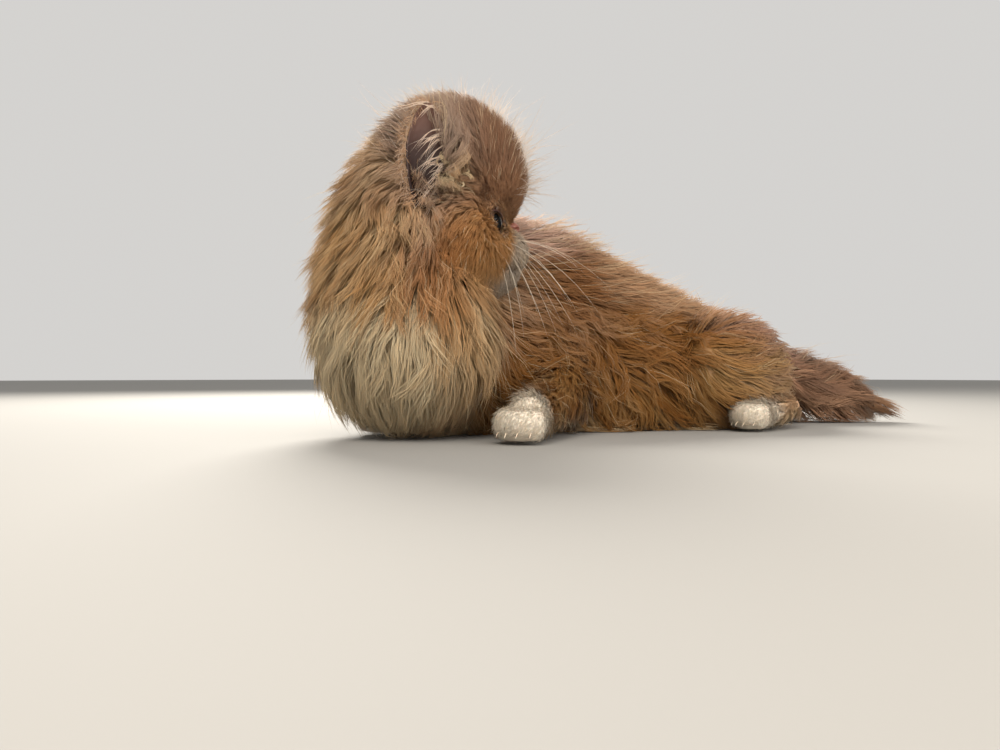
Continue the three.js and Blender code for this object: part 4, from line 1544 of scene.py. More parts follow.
    def grow(self) -> tuple[Strands, Array]:
        """Grows every tuft along its clump's path.

        Returns:
            The tufts, and which area of fur each belongs to.
        """
        random = np.random.default_rng(self.seed)
        self.prepare()
        self.guides(random)
        index, shares = self.sow(random, self.styles[:, DENSITY])
        root = self.read(self.skin.points, index, shares)
        style = self.read(self.styles, index, shares)
        normal = unit(self.read(self.skin.normals, index, shares))
        weights = self.read(self.skin.weights, index, shares)
        spots = self.skin.unwrap[self.triangles[index, 0]]
        count = len(root)
        guide = np.array([self.guide_tree.find(point)[1] for point in root.tolist()])
        paths = self.paths[guide]
        offset = root - paths[:, 0]
        offset -= normal * dots(offset, normal)
        along = np.linspace(0, 1, self.steps)
        gather = style[:, GATHER, None] * random.uniform(0.5, 1.3, (count, 1))
        spread = 1 - gather * along**1.3
        middle = smooth_path(paths)
        nodes = (
            middle
            + (paths - middle) * random.uniform(0.5, 1.5, (count, 1, 1))
            + offset[:, None, :] * spread[:, :, None]
        )
        nodes[:, 0] = root - normal * 0.7
        stray = random.normal(0, 1, (count, 3)) * (0.25 + style[:, LENGTH] * 0.055)[:, None]
        nodes += stray[:, None, :] * (along**1.6)[None, :, None]
        short = random.uniform(0.72, 1.0, count) ** 0.8
        nodes = resample(nodes, short)
        nodes[:, :, 2] = np.maximum(nodes[:, :, 2], self.clearance)
        colours = markings(root, weights) * self.guide_shade[guide][:, None]
        area = self.read(self.shares, index, shares).argmax(axis=1)
        widths = style[:, WIDTH] * random.uniform(0.75, 1.25, count)
        return Strands(nodes, widths, self.ups[guide], colours, spots), area


def smooth_path(paths: Array) -> Array:
    """Evens out the waves of paths.

    Args:
        paths: Paths by points by three.

    Returns:
        The smoother paths, with the same ends.
    """
    middle = paths.copy()
    for _ in range(3):
        middle[:, 1:-1] = middle[:, 1:-1] * 0.4 + (middle[:, :-2] + middle[:, 2:]) * 0.3
    return middle


def resample(nodes: Array, share: Array) -> Array:
    """Cuts each path off at a share of its length, with as many points as before.

    Args:
        nodes: Paths by points by three.
        share: How much of each path is kept.

    Returns:
        The shorter paths.
    """
    count, stops = nodes.shape[:2]
    places = np.linspace(0, 1, stops)[None, :] * share[:, None] * (stops - 1)
    low = np.minimum(places.astype(int), stops - 2)
    rest = (places - low)[:, :, None]
    rows = np.arange(count)[:, None]
    return nodes[rows, low] * (1 - rest) + nodes[rows, low + 1] * rest


class Node:
    """Adds nodes and links to one material."""

    def __init__(self, name: str) -> None:
        """Starts a material with an empty node tree.

        Args:
            name: The material's name.
        """
        self.material = bpy.data.materials.new(name)
        self.material.use_nodes = True
        self.tree = self.material.node_tree
        self.tree.nodes.clear()

    def add(
        self, kind: str, settings: dict[str, object] | None = None, **links: object
    ) -> bpy.types.Node:
        """Adds a node.

        Args:
            kind: The node's type name.
            settings: Attributes of the node itself.
            **links: Values or output sockets, by input name with underscores for spaces, or as
                at_ and the input's number.

        Returns:
            The new node.
        """
        node = self.tree.nodes.new(kind)
        for key, value in (settings or {}).items():
            setattr(node, key, value)
        for key, value in links.items():
            numbered = key.startswith("at_")
            socket = node.inputs[int(key[3:]) if numbered else key.replace("_", " ")]
            if isinstance(value, bpy.types.NodeSocket):
                self.tree.links.new(value, socket)
            else:
                socket.default_value = value
        return node


def rgba(colour: Array) -> tuple[float, float, float, float]:
    """Returns a linear colour with full opacity."""
    return (*(float(c) for c in colour), 1.0)


@dataclass(frozen=True)
class FurFinish:
    """Cat hair: keratin with a soft sheen. Its colour is the coat's marking at each tuft, which
    carries painted shade and light.
    """

    name: str = "cat_hair"
    roughness: float = 0.62
    sheen: float = 0.2
    glow: float = 0.4

    def material(self) -> bpy.types.Material:
        """Makes the material, mottled at the width of a few hairs.

        Returns:
            The material.
        """
        made = Node(self.name)
        colour = made.add("ShaderNodeAttribute", {"attribute_name": "coat"})
        place = made.add("ShaderNodeTexCoord")
        # Hairs within a tuft are too fine to show one by one, so they are drawn as 0.4 mm streaks.
        streak = made.add(
            "ShaderNodeTexNoise", Vector=place.outputs["Object"], Scale=900.0, Detail=2.0
        )
        level = made.add("ShaderNodeMapRange", Value=streak.outputs["Fac"], To_Min=0.9, To_Max=1.1)
        toned = made.add(
            "ShaderNodeVectorMath",
            {"operation": "SCALE"},
            Vector=colour.outputs["Color"],
            Scale=level.outputs["Result"],
        )
        shader = made.add(
            "ShaderNodeBsdfPrincipled",
            Base_Color=toned.outputs["Vector"],
            Roughness=self.roughness,
            IOR=1.55,
            Specular_IOR_Level=0.25,
            Sheen_Weight=self.sheen,
            Sheen_Roughness=0.45,
            Sheen_Tint=rgba(linear("FFF1DC")),
        )
        # Light passes through fine pale hair, so the depths of the coat glow instead of going dark.
        glow = made.add("ShaderNodeBsdfTranslucent", Color=toned.outputs["Vector"])
        both = made.add(
            "ShaderNodeMixShader",
            Fac=self.glow,
            at_1=shader.outputs["BSDF"],
            at_2=glow.outputs["BSDF"],
        )
        made.add("ShaderNodeOutputMaterial", Surface=both.outputs["Shader"])
        return made.material


@dataclass(frozen=True)
class SkinFinish:
    """Living skin or horn, slightly moist, with fine creases that break its gloss."""

    name: str
    colour: str = ""
    deep: str = ""
    roughness: float = 0.5
    crease: float = 0.35
    scale: float = 420.0
    painted: bool = False

    def material(self) -> bpy.types.Material:
        """Makes the material with its mottle, or its painted colours, and its creases.

        Returns:
            The material.
        """
        made = Node(self.name)
        place = made.add("ShaderNodeTexCoord")
        if self.painted:
            base = made.add("ShaderNodeAttribute", {"attribute_name": "coat"}).outputs["Color"]
        else:
            mottle = made.add(
                "ShaderNodeTexNoise",
                Vector=place.outputs["Object"],
                Scale=self.scale * 0.4,
                Detail=3.0,
            )
            mixed = made.add(
                "ShaderNodeMix",
                {"data_type": "RGBA"},
                at_0=mottle.outputs["Fac"],
                at_6=rgba(linear(self.colour)),
                at_7=rgba(linear(self.deep)),
            )
            base = mixed.outputs[2]
        grain = made.add("ShaderNodeTexVoronoi", Vector=place.outputs["Object"], Scale=self.scale)
        bump = made.add(
            "ShaderNodeBump",
            Strength=self.crease,
            Distance=0.0004,
            Height=grain.outputs["Distance"],
        )
        shader = made.add(
            "ShaderNodeBsdfPrincipled",
            Base_Color=base,
            Roughness=self.roughness,
            Normal=bump.outputs["Normal"],
            Subsurface_Weight=0.1,
            Subsurface_Radius=(0.004, 0.0015, 0.001),
        )
        made.add("ShaderNodeOutputMaterial", Surface=shader.outputs["BSDF"])
        return made.material


@dataclass(frozen=True)
class EyeFinish:
    """A living eye: a copper iris under a clear wet cornea, with a dark wide pupil."""

    inner: str = "5E3C14"
    outer: str = "A06A2A"
    rim: str = "1C120C"
    hole: str = "050404"
    pupil: float = 6.8
    iris: float = 8.3

    def iris_material(self) -> bpy.types.Material:
        """Makes the eyeball's material: pupil, iris and white by distance from the gaze's line.

        Returns:
            The material.
        """
        made = Node("cat_iris")
        polar = made.add("ShaderNodeAttribute", {"attribute_name": "gaze"})
        parts = made.add("ShaderNodeSeparateColor", Color=polar.outputs["Color"])
        far = parts.outputs["Red"]
        place = made.add("ShaderNodeTexCoord")
        fibre = made.add(
            "ShaderNodeTexNoise", Vector=place.outputs["Object"], Scale=1600.0, Detail=4.0
        )
        copper = made.add(
            "ShaderNodeMix",
            {"data_type": "RGBA"},
            at_0=fibre.outputs["Fac"],
            at_6=rgba(linear(self.inner)),
            at_7=rgba(linear(self.outer)),
        )
        # The pupil's edge is crisp; the iris darkens towards the white.
        dark = made.add(
            "ShaderNodeMapRange",
            {"interpolation_type": "SMOOTHSTEP"},
            Value=far,
            From_Min=self.pupil / EYE_RADIUS - 0.02,
            From_Max=self.pupil / EYE_RADIUS + 0.03,
        )
        inner = made.add(
            "ShaderNodeMix",
            {"data_type": "RGBA"},
            at_0=dark.outputs["Result"],
            at_6=rgba(linear(self.hole)),
            at_7=copper.outputs[2],
        )
        edge = made.add(
            "ShaderNodeMapRange",
            {"interpolation_type": "SMOOTHSTEP"},
            Value=far,
            From_Min=self.iris / EYE_RADIUS - 0.05,
            From_Max=self.iris / EYE_RADIUS + 0.02,
        )
        ringed = made.add(
            "ShaderNodeMix",
            {"data_type": "RGBA"},
            at_0=edge.outputs["Result"],
            at_6=inner.outputs[2],
            at_7=rgba(linear(self.rim)),
        )
        shader = made.add(
            "ShaderNodeBsdfPrincipled",
            Base_Color=ringed.outputs[2],
            Roughness=0.6,
            Specular_IOR_Level=0.0,
        )
        made.add("ShaderNodeOutputMaterial", Surface=shader.outputs["BSDF"])
        return made.material

    def cornea_material(self) -> bpy.types.Material:
        """Makes the clear wet front of the eye, which adds the lamps' glints over the iris.

        Returns:
            The material.
        """
        made = Node("cat_cornea")
        clear = made.add("ShaderNodeBsdfTransparent")
        gloss = made.add("ShaderNodeBsdfGlossy", Roughness=0.03)
        glance = made.add("ShaderNodeFresnel", IOR=1.376)
        # The room is plain and pale, so only the cornea's edge mirrors it in full.
        edge = made.add(
            "ShaderNodeMapRange",
            Value=glance.outputs["Fac"],
            From_Min=0.08,
            From_Max=0.55,
            To_Min=0.02,
            To_Max=0.9,
        )
        shader = made.add(
            "ShaderNodeMixShader",
            Fac=edge.outputs["Result"],
            at_1=clear.outputs["BSDF"],
            at_2=gloss.outputs["BSDF"],
        )
        made.add("ShaderNodeOutputMaterial", Surface=shader.outputs["Shader"])
        return made.material


def strand_set(
    paths: Array, widths: Array, colours: Array, normals: Array, spots: Array
) -> Strands:
    """Gathers hairs that were laid one by one.

    Args:
        paths: Hairs by points by three.
        widths: Each hair's width.
        colours: Each hair's colour.
        normals: The way each hair's flat side faces.
        spots: Each root's place on the skin's unwrap.

    Returns:
        The hairs as tufts.
    """
    paths, normals = np.asarray(paths), np.asarray(normals)
    return Strands(
        paths,
        np.asarray(widths),
        np.repeat(normals[:, None], paths.shape[1], axis=1),
        np.asarray(colours),
        np.asarray(spots),
    )


@dataclass(frozen=True)
class Ear:
    """One ear: a thin cupped leaf, furred behind, with long hairs across its opening."""

    mirror: int
    width: float = 15.5
    thick: float = 1.2
    depth: float = 9.0
    span: tuple[float, float] = (-0.18, 0.985)
    # The lining's dark colour low in the hollow is painted shade.
    hollow: Array = dye("2E1C19")
    edge: Array = dye("5C3A2C")

    @property
    def name(self) -> str:
        """Returns the ear's node name."""
        return "ear_left" if self.mirror > 0 else "ear_right"

    @property
    def frame(self) -> tuple[Array, Array, Array, Array]:
        """Gives the ear's own frame in the head's axes.

        Returns:
            Its base, its length's vector, the way it opens, and the way across it.
        """
        flip = row(1, self.mirror, 1)
        base, tip = (EAR_BASE - row(5, 0, 3)) * flip, (EAR_TIP + row(-3, 4, -3)) * flip
        up = tip - base
        opens = unit(row(0.38, 0.92, 0.05)) * flip
        opens = unit(opens - unit(up) * float(opens @ unit(up)))
        across = np.cross(unit(up), opens)
        return base, up, opens, across

    def leaf(self, t: Array, s: Array) -> Array:
        """Returns points of the ear's mid surface.

        Args:
            t: From 0 at the base to 1 at the tip.
            s: From -1 at one edge to 1 at the other.

        Returns:
            Points in the body's axes.
        """
        base, up, opens, across = self.frame
        t, s = np.asarray(t, dtype=float), np.asarray(s, dtype=float)
        above = np.maximum(t, 0)
        swell = np.sin(np.pi * np.clip(0.06 + 0.66 * t, 0, 0.5))
        wide = self.width * (0.24 + 0.76 * swell) * np.maximum(0, 1 - above**2.8) ** 0.6
        turn = s * (1.5 - 0.75 * t)
        round_out = np.sin(turn) / np.sin(np.maximum(1.5 - 0.75 * t, 0.3))
        cup = self.depth * (1 - np.cos(turn)) * (1 - 0.55 * t)
        lean = 2.2 * np.sin(np.pi * t)
        local = (
            base
            + up * t[..., None]
            + across * (wide * round_out)[..., None]
            + opens * (cup - 3.0 + lean)[..., None]
        )
        return HEAD.out(local)

    def build(self, finish: bpy.types.Material) -> bpy.types.Object:
        """Builds the ear's shell and puts it in place of the solid one.

        Args:
            finish: The finish of the bare skin inside the ear.

        Returns:
            The shell's object.
        """
        bm = bmesh.new()
        verts, at = grid(bm, 25, 20)
        low, high = self.span
        move(verts, self.leaf(low + (high - low) * at[:, 0], 2 * at[:, 1] - 1))
        bmesh.ops.recalc_face_normals(bm, faces=bm.faces)
        bmesh.ops.solidify(bm, geom=list(bm.faces), thickness=self.thick * MM)
        mesh = bpy.data.meshes.new(self.name + "_leaf")
        bm.to_mesh(mesh)
        bm.free()
        mesh.polygons.foreach_set("use_smooth", [True] * len(mesh.polygons))
        # The lining darkens from the tip down into the hollow, as painted shade.
        height = ramp(HEAD.into(points_of(mesh))[:, 2], 6, 40)
        paint(mesh, mix(np.tile(self.hollow, (len(height), 1)), self.edge, height))
        piece = new_object(self.name + "_shell", mesh, finish)
        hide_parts(self.name)
        return piece

    @property
    def ways(self) -> tuple[Array, Array, Array, float]:
        """Gives the ear's ways in the body's axes.

        Returns:
            The way up it, out of it and forward, and the sign of its front edge.
        """
        _, up, opens, across = self.frame
        way_up, way_out = HEAD.turn(unit(up)), HEAD.turn(opens)
        forward = HEAD.turn(row(1, 0, 0))
        forward = unit(forward - way_out * float(forward @ way_out))
        return way_up, way_out, forward, 1.0 if float(HEAD.turn(across) @ forward) > 0 else -1.0

    def hairs(self, random: np.random.Generator) -> list[Strands]:
        """Grows the fur on the ear's back and rim and the long hairs inside."""
        return [self.back(random), self.rim(random), self.furnishing(random)]

    def back(self, random: np.random.Generator) -> Strands:
        """Grows the soft fur on the ear's back.

        Args:
            random: The source of random numbers.

        Returns:
            The hairs.
        """
        way_up, way_out, forward, ahead = self.ways
        count = 800
        along = np.linspace(0, 1, 4)
        t, s = random.random(count) ** 0.9, random.uniform(-1, 1, count)
        root = self.leaf(t, s)
        outward = unit(-way_out + forward * (ahead * s * 0.9)[:, None])
        length = (9 + 5 * random.random(count)) * (1 - 0.5 * t)
        lie = unit(
            way_up * 0.8
            + forward * (0.3 * ahead * s - 0.3)[:, None]
            + random.normal(0, 0.18, (count, 3))
        )
        path = root[:, None] + lie[:, None] * (length[:, None] * along)[:, :, None]
        path = (
            path
            + outward[:, None]
            * (0.6 + (1.5 + 2.5 * random.random(count))[:, None] * along**0.8)[:, :, None]
        )
        colour = mix(np.tile(DYES.nape, (count, 1)), DYES.crown, random.random(count))
        return strand_set(
            path,
            np.full(count, 0.42),
            colour,
            unit(outward * 0.3 + way_up + way_out * 0.4),
            np.stack([0.3 + 0.1 * t, 0.25 + 0.02 * s], axis=1),
        )

    def rim(self, random: np.random.Generator) -> Strands:
        """Grows the fringe that spills over both edges and hides them.

        Args:
            random: The source of random numbers.

        Returns:
            The hairs.
        """
        way_up, way_out, forward, ahead = self.ways
        count = 520
        along = np.linspace(0, 1, 5)
        edge = np.where(random.random(count) < 0.55, -1.0, 1.0)
        t = random.random(count) ** 0.75
        root = self.leaf(t, edge * random.uniform(0.86, 1.0, count))
        outer = forward * (edge * ahead)[:, None]
        start = unit(
            outer * random.uniform(0.2, 0.9, count)[:, None]
            + way_out * 0.22
            + way_up * random.uniform(-0.7, 0.9, count)[:, None]
        )
        droop = unit(
            outer * random.uniform(-0.6, 0.7, count)[:, None]
            + way_up * random.uniform(-1.3, -0.3, count)[:, None]
            + way_out * 0.1
        )
        length = (8 + 9 * random.random(count)) * (1 - 0.4 * t)
        path = (
            root[:, None]
            + start[:, None] * (length[:, None] * along * (1 - 0.5 * along))[:, :, None]
        )
        path = path + droop[:, None] * (length[:, None] * 0.6 * along**2)[:, :, None]
        turn = random.uniform(0, 6.28, count)[:, None] + along * 5.0
        path = path + forward * (0.7 * np.sin(turn) * along)[:, :, None]
        colour = mix(np.tile(DYES.nape, (count, 1)), DYES.lash, random.random(count) * 0.6)
        return strand_set(
            path,
            np.full(count, 0.36),
            colour,
            np.tile(way_out, (count, 1)),
            np.stack([0.32 + 0.1 * t, np.full(count, 0.2)], axis=1),
        )

    def furnishing(self, random: np.random.Generator) -> Strands:
        """Grows the long loose hairs that curl out of the front edge and hang across the opening.

        Args:
            random: The source of random numbers.

        Returns:
            The hairs.
        """
        way_up, way_out, forward, ahead = self.ways
        locks, each = 26, 3
        along = np.linspace(0, 1, 9)
        paths, spots = [], []
        for _ in range(locks):
            t = random.uniform(0.1, 1.0)
            root = self.leaf(np.array([t]), np.array([random.uniform(0.8, 1.0) * ahead]))[0]
            length = random.uniform(20, 40)
            out = (
                -forward * random.uniform(0.4, 1.0)
                + way_out * 0.65
                + way_up * random.uniform(-0.2, 0.6)
            )
            fall = -forward * random.uniform(0.0, 0.6) + way_up * random.uniform(-1.1, -0.1)
            turn = random.uniform(0, 6.28)
            for _ in range(each):
                shift = random.normal(0, 0.3, 3)
                reach = length * random.uniform(0.7, 1.0)
                path = (
                    root
                    + shift
                    + unit(out) * (reach * along * (1 - 0.45 * along))[:, None]
                    + unit(fall) * (reach * 0.6 * along**2)[:, None]
                )
                path = (
                    path
                    + (forward * 0.6 + way_up) * (1.5 * np.sin(turn + along * 6.0) * along)[:, None]
                    - shift * (0.6 * along)[:, None]
                )
                path = path + random.normal(0, 1.4, 3) * (along**2)[:, None]
                paths.append(path)
                spots.append((0.35 + 0.05 * t, 0.18))
        count = len(paths)
        colour = mix(np.tile(DYES.lash, (count, 1)), DYES.nape, random.random(count) * 0.3)
        return strand_set(
            np.array(paths),
            np.full(count, 0.38),
            colour,
            np.tile(way_out, (count, 1)),
            np.array(spots),
        )


def ear_curls(random: np.random.Generator, curls: int = 26, each: int = 8) -> Strands:
    """Grows the pale matted curls in front of each ear's base.

    Args:
        random: The source of random numbers.
        curls: How many curls to grow on each side.
        each: How many hairs each curl has.

    Returns:
        The curls' hairs.
    """
    along = np.linspace(0, 1, 8)
    paths, ways = [], []
    for mirror in (1, -1):
        out = row(0.15, mirror, 0.1)
        for _ in range(curls):
            middle = row(-6, 44 * mirror, -1) + row(random.normal(0, 5.0), 0, random.normal(0, 5.0))
            wide, first, turns = (
                random.uniform(1.8, 4.6), random.uniform(0, 6.28), random.uniform(3.0, 6.0)
                * random.choice((-1, 1))
            )
            drift = row(random.normal(-2, 3), 0, random.normal(-2, 3))
            for _ in range(each):
                size = wide * (1 - 0.45 * along) * random.uniform(0.8, 1.15)
                angle = first + turns * along + random.normal(0, 0.15)
                path = (
                    middle
                    + row(1, 0, 0) * (size * np.cos(angle))[:, None]
                    + UP * (size * np.sin(angle))[:, None]
                )
                paths.append(
                    path
                    + out * (5.0 * along - 2.0)[:, None]
                    + drift * along[:, None]
                    + random.normal(0, 0.5, 3)
                )
                ways.append(out)
    count = len(paths)
    colour = mix(np.tile(DYES.cream, (count, 1)), DYES.sand, random.random(count) * 0.5)
    return strand_set(
        HEAD.out(np.array(paths)),
        np.full(count, 0.3),
        colour,
        HEAD.turn(unit(np.array(ways))),
        np.full((count, 2), 0.22),
    )


@dataclass(frozen=True)
class Eye:
    """One eye with its iris, its cornea and the moist margin of its lids."""

    mirror: int
    splay: float = math.radians(44)
    finish: EyeFinish = EyeFinish()

    @property
    def name(self) -> str:
        """Returns the eye's node name."""
        return "eye_left" if self.mirror > 0 else "eye_right"

    @property
    def centre(self) -> Array:
        """Returns the eyeball's middle in the head's axes."""
        return EYE_PLACE * row(1, self.mirror, 1)

    def ball(self, radius: float, shape: Callable[[Array], Array]) -> tuple[bpy.types.Mesh, Array]:
        """Makes a sphere whose pole is the gaze.

        Args:
            radius: Its radius.
            shape: Gives the share of the radius for each distance from the gaze's line.

        Returns:
            The mesh and each vertex's distance from the gaze's line, from 0 to 1.
        """
        bm = bmesh.new()
        verts = bmesh.ops.create_uvsphere(bm, u_segments=48, v_segments=48, radius=1.0)["verts"]
        ways = np.array([vert.co for vert in verts])
        far = np.hypot(ways[:, 0], ways[:, 1])
        front = ways[:, 2] > 0
        share = np.where(front, shape(far), 1.0)
        gaze, wide, high = eye_axes(self.mirror, self.splay)
        local = (
            (ways[:, 2:3] * gaze + ways[:, 0:1] * wide + ways[:, 1:2] * high)
            * (radius * share)[:, None]
        )
        move(verts, HEAD.out(local + self.centre))
        return mesh_from(self.name, bm), np.where(front, far, 1.0)

    def build(self, margin: bpy.types.Material) -> list[bpy.types.Object]:
        """Builds the eye and the lids' margin.

        Args:
            margin: The finish of the lids' margin.

        Returns:
            The ball, the cornea and the margin.
        """
        mesh, far = self.ball(EYE_RADIUS - 0.9, lambda d: 1 - 0.10 * ramp(-d, -0.62, -0.30))
        paint(mesh, np.repeat(far[:, None], 3, axis=1), "gaze")
        ball = new_object(self.name + "_iris", mesh, self.finish.iris_material())
        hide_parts(self.name)
        mesh, _ = self.ball(EYE_RADIUS - 0.4, lambda d: 1 + 0.09 * ramp(-d, -0.72, 0.0))
        cornea = new_object(self.name + "_cornea", mesh, self.finish.cornea_material())
        return [ball, cornea, self.margin(margin)]

    def rim(self, turn: Array) -> Array:
        """Gives points of the line on which the margin lies, in the eye's own axes.

        Args:
            turn: Places round the opening, in radians.

        Returns:
            One point for each place.
        """
        arch = lid_arch(np.cos(turn))
        wide = (LID_HALF + 0.2) * np.cos(turn)
        high = np.where(np.sin(turn) > 0, arch, -arch) + 0.2 * np.sign(np.sin(turn))
        radius = EYE_RADIUS + 0.55
        front = np.sqrt(np.maximum(radius**2 - wide**2 - high**2, 4))
        return np.stack([front, wide, high], axis=1)

    def margin(self, finish: bpy.types.Material) -> bpy.types.Object:
        """Builds the thin moist rim round the opening between the lids.

        Args:
            finish: The margin's finish.

        Returns:
            The margin's object.
        """
        bm = bmesh.new()
        turns = 64
        verts, at = grid(bm, turns, 10)
        line = self.rim(np.linspace(0, 2 * np.pi, turns, endpoint=False))
        ahead = unit(np.roll(line, -1, axis=0) - np.roll(line, 1, axis=0))
        out = unit(line)
        side = np.cross(ahead, out)
        place_on = np.rint(at[:, 0] * turns).astype(int) % turns
        angle = 2 * np.pi * at[:, 1:]
        tube = side[place_on] * 0.55 * np.cos(angle) + out[place_on] * 0.45 * np.sin(angle)
        local = line[place_on] + tube
        move(verts, HEAD.out(local @ eye_axes(self.mirror) + self.centre))
        bmesh.ops.remove_doubles(bm, verts=bm.verts, dist=WELD)
        name = self.name + "_margin"
        return new_object(name, mesh_from(name, bm), finish)


@dataclass(frozen=True)
class Nose:
    """The short nose leather with its two nostrils."""

    centre: Array = vector(33, 0, -23.5)
    radii: Array = vector(6.2, 6.6, 4.6)

    def build(self, finish: bpy.types.Material) -> bpy.types.Object:
        """Builds the leather as a rounded heart and presses the nostrils in.

        Args:
            finish: The leather's finish.

        Returns:
            The nose's object.
        """
        bm = bmesh.new()
        verts = bmesh.ops.create_uvsphere(bm, u_segments=80, v_segments=60, radius=1.0)["verts"]
        ways = np.array([vert.co for vert in verts])
        shaped = ways * self.radii
        low = ramp(-ways[:, 2], -0.2, 0.9)
        shaped[:, 1] *= 1 - 0.45 * low
        side = np.abs(shaped[:, 1])
        hole = (
            np.stack([shaped[:, 0] - 5.6, side - 3.2, shaped[:, 2] + 0.6], axis=1)
            / row(3.0, 1.55, 1.0)
        )
        press = bump_at(np.linalg.norm(hole, axis=1), 0, 0.85)
        shaped[:, 0] -= 2.6 * press
        slit = (
            bump_at(side - 4.4, 0, 1.2)
            * bump_at(shaped[:, 2] + 0.4, 0, 0.8)
            * ramp(shaped[:, 0], 1.0, 3.5)
        )
        shaped[:, 0] -= 1.1 * slit
        shaped[:, 0] -= 0.7 * bump_at(shaped[:, 1], 0, 0.5) * ramp(-shaped[:, 2], -1.0, 2.0)
        move(verts, HEAD.out(shaped + self.centre))
        piece = new_object("nose_leather", mesh_from("nose_leather", bm), finish)
        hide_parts("nose")
        return piece


@dataclass(frozen=True)
class Whiskers:
    """The long pale whiskers of the lips and brows."""

    thick: float = 0.22

    def grow(self, random: np.random.Generator) -> Strands:
        """Grows the whiskers on both sides.

        Args:
            random: The source of random numbers.

        Returns:
            The whiskers as tufts of one hair each.
        """
        paths, ways = [], []
        along = np.linspace(0, 1, 7)
        for mirror in (1, -1):
            for k in range(15):
                line, place_in = divmod(k, 5)
                f, side, up = (
                    38 - 3.4 * place_in, 9 + 2.4 * place_in, -32 - 4.0 * line - 0.8 * place_in
                )
                root = row(f, side * mirror, up)
                drop = 0.15 + 0.38 * line + random.normal(0, 0.08)
                out = unit(row(0.95 - 0.17 * place_in, mirror * (0.35 + 0.08 * place_in), -drop))
                length = random.uniform(46, 74) * (0.85 if line == 2 else 1.0)
                sag = row(-0.12, 0.05 * mirror, -0.38) * length * random.uniform(0.6, 1.1)
                paths.append(root + out * (length * along)[:, None] + sag * (along**2)[:, None])
                ways.append(row(0.5, mirror, 0))
            for k in range(4):
                root = row(24 - 2.5 * k, (15 + 2 * k) * mirror, -11 + k)
                out = unit(row(0.55, 0.35 * mirror, 0.9))
                length = random.uniform(20, 32)
                paths.append(
                    root
                    + out * (length * along)[:, None]
                    + row(-0.5, 0.1 * mirror, -0.15) * length * 0.6 * (along**2)[:, None]
                )
                ways.append(row(0.5, mirror, 0))
        paths = HEAD.out(np.array(paths))
        count = len(paths)
        colour = np.tile(DYES.white, (count, 1))
        return strand_set(
            paths,
            np.full(count, self.thick),
            colour,
            HEAD.turn(unit(np.array(ways))),
            np.full((count, 2), 0.05),
        )


@dataclass(frozen=True)
class Claws:
    """The claws' tips between the toes' fur."""

    length: float = 5.0
    thick: float = 0.9
    hook: float = 3.0

    def build(self, forms: Sequence[Form], finish: bpy.types.Material) -> bpy.types.Object:
        """Builds one small hooked claw at the end of each toe.

        Args:
            forms: The body's forms, of which the toes are used.
            finish: The claws' finish.

        Returns:
            The claws as one object.
        """
        bm = bmesh.new()
        for form in forms:
            if form.region is Region.TOES:
                way = row(math.cos(form.yaw), math.sin(form.yaw), 0)
                side = np.cross(UP, way)
                verts, at = grid(bm, 7, 10)
                t, angle = at[:, :1], 2 * np.pi * at[:, 1:]
                middle = (
                    form.centre + way * (6.5 + self.length * t) - UP * (3.5 + self.hook * t * t)
                )
                radius = self.thick * (1 - t) ** 0.7 + 0.05
                ring = side * 0.6 * np.cos(angle) + UP * np.sin(angle)
                move(verts, middle + radius * ring)
        bmesh.ops.remove_doubles(bm, verts=bm.verts, dist=WELD)
        bmesh.ops.holes_fill(bm, edges=bm.edges, sides=10)
        return new_object("claws", mesh_from("claws", bm), finish)


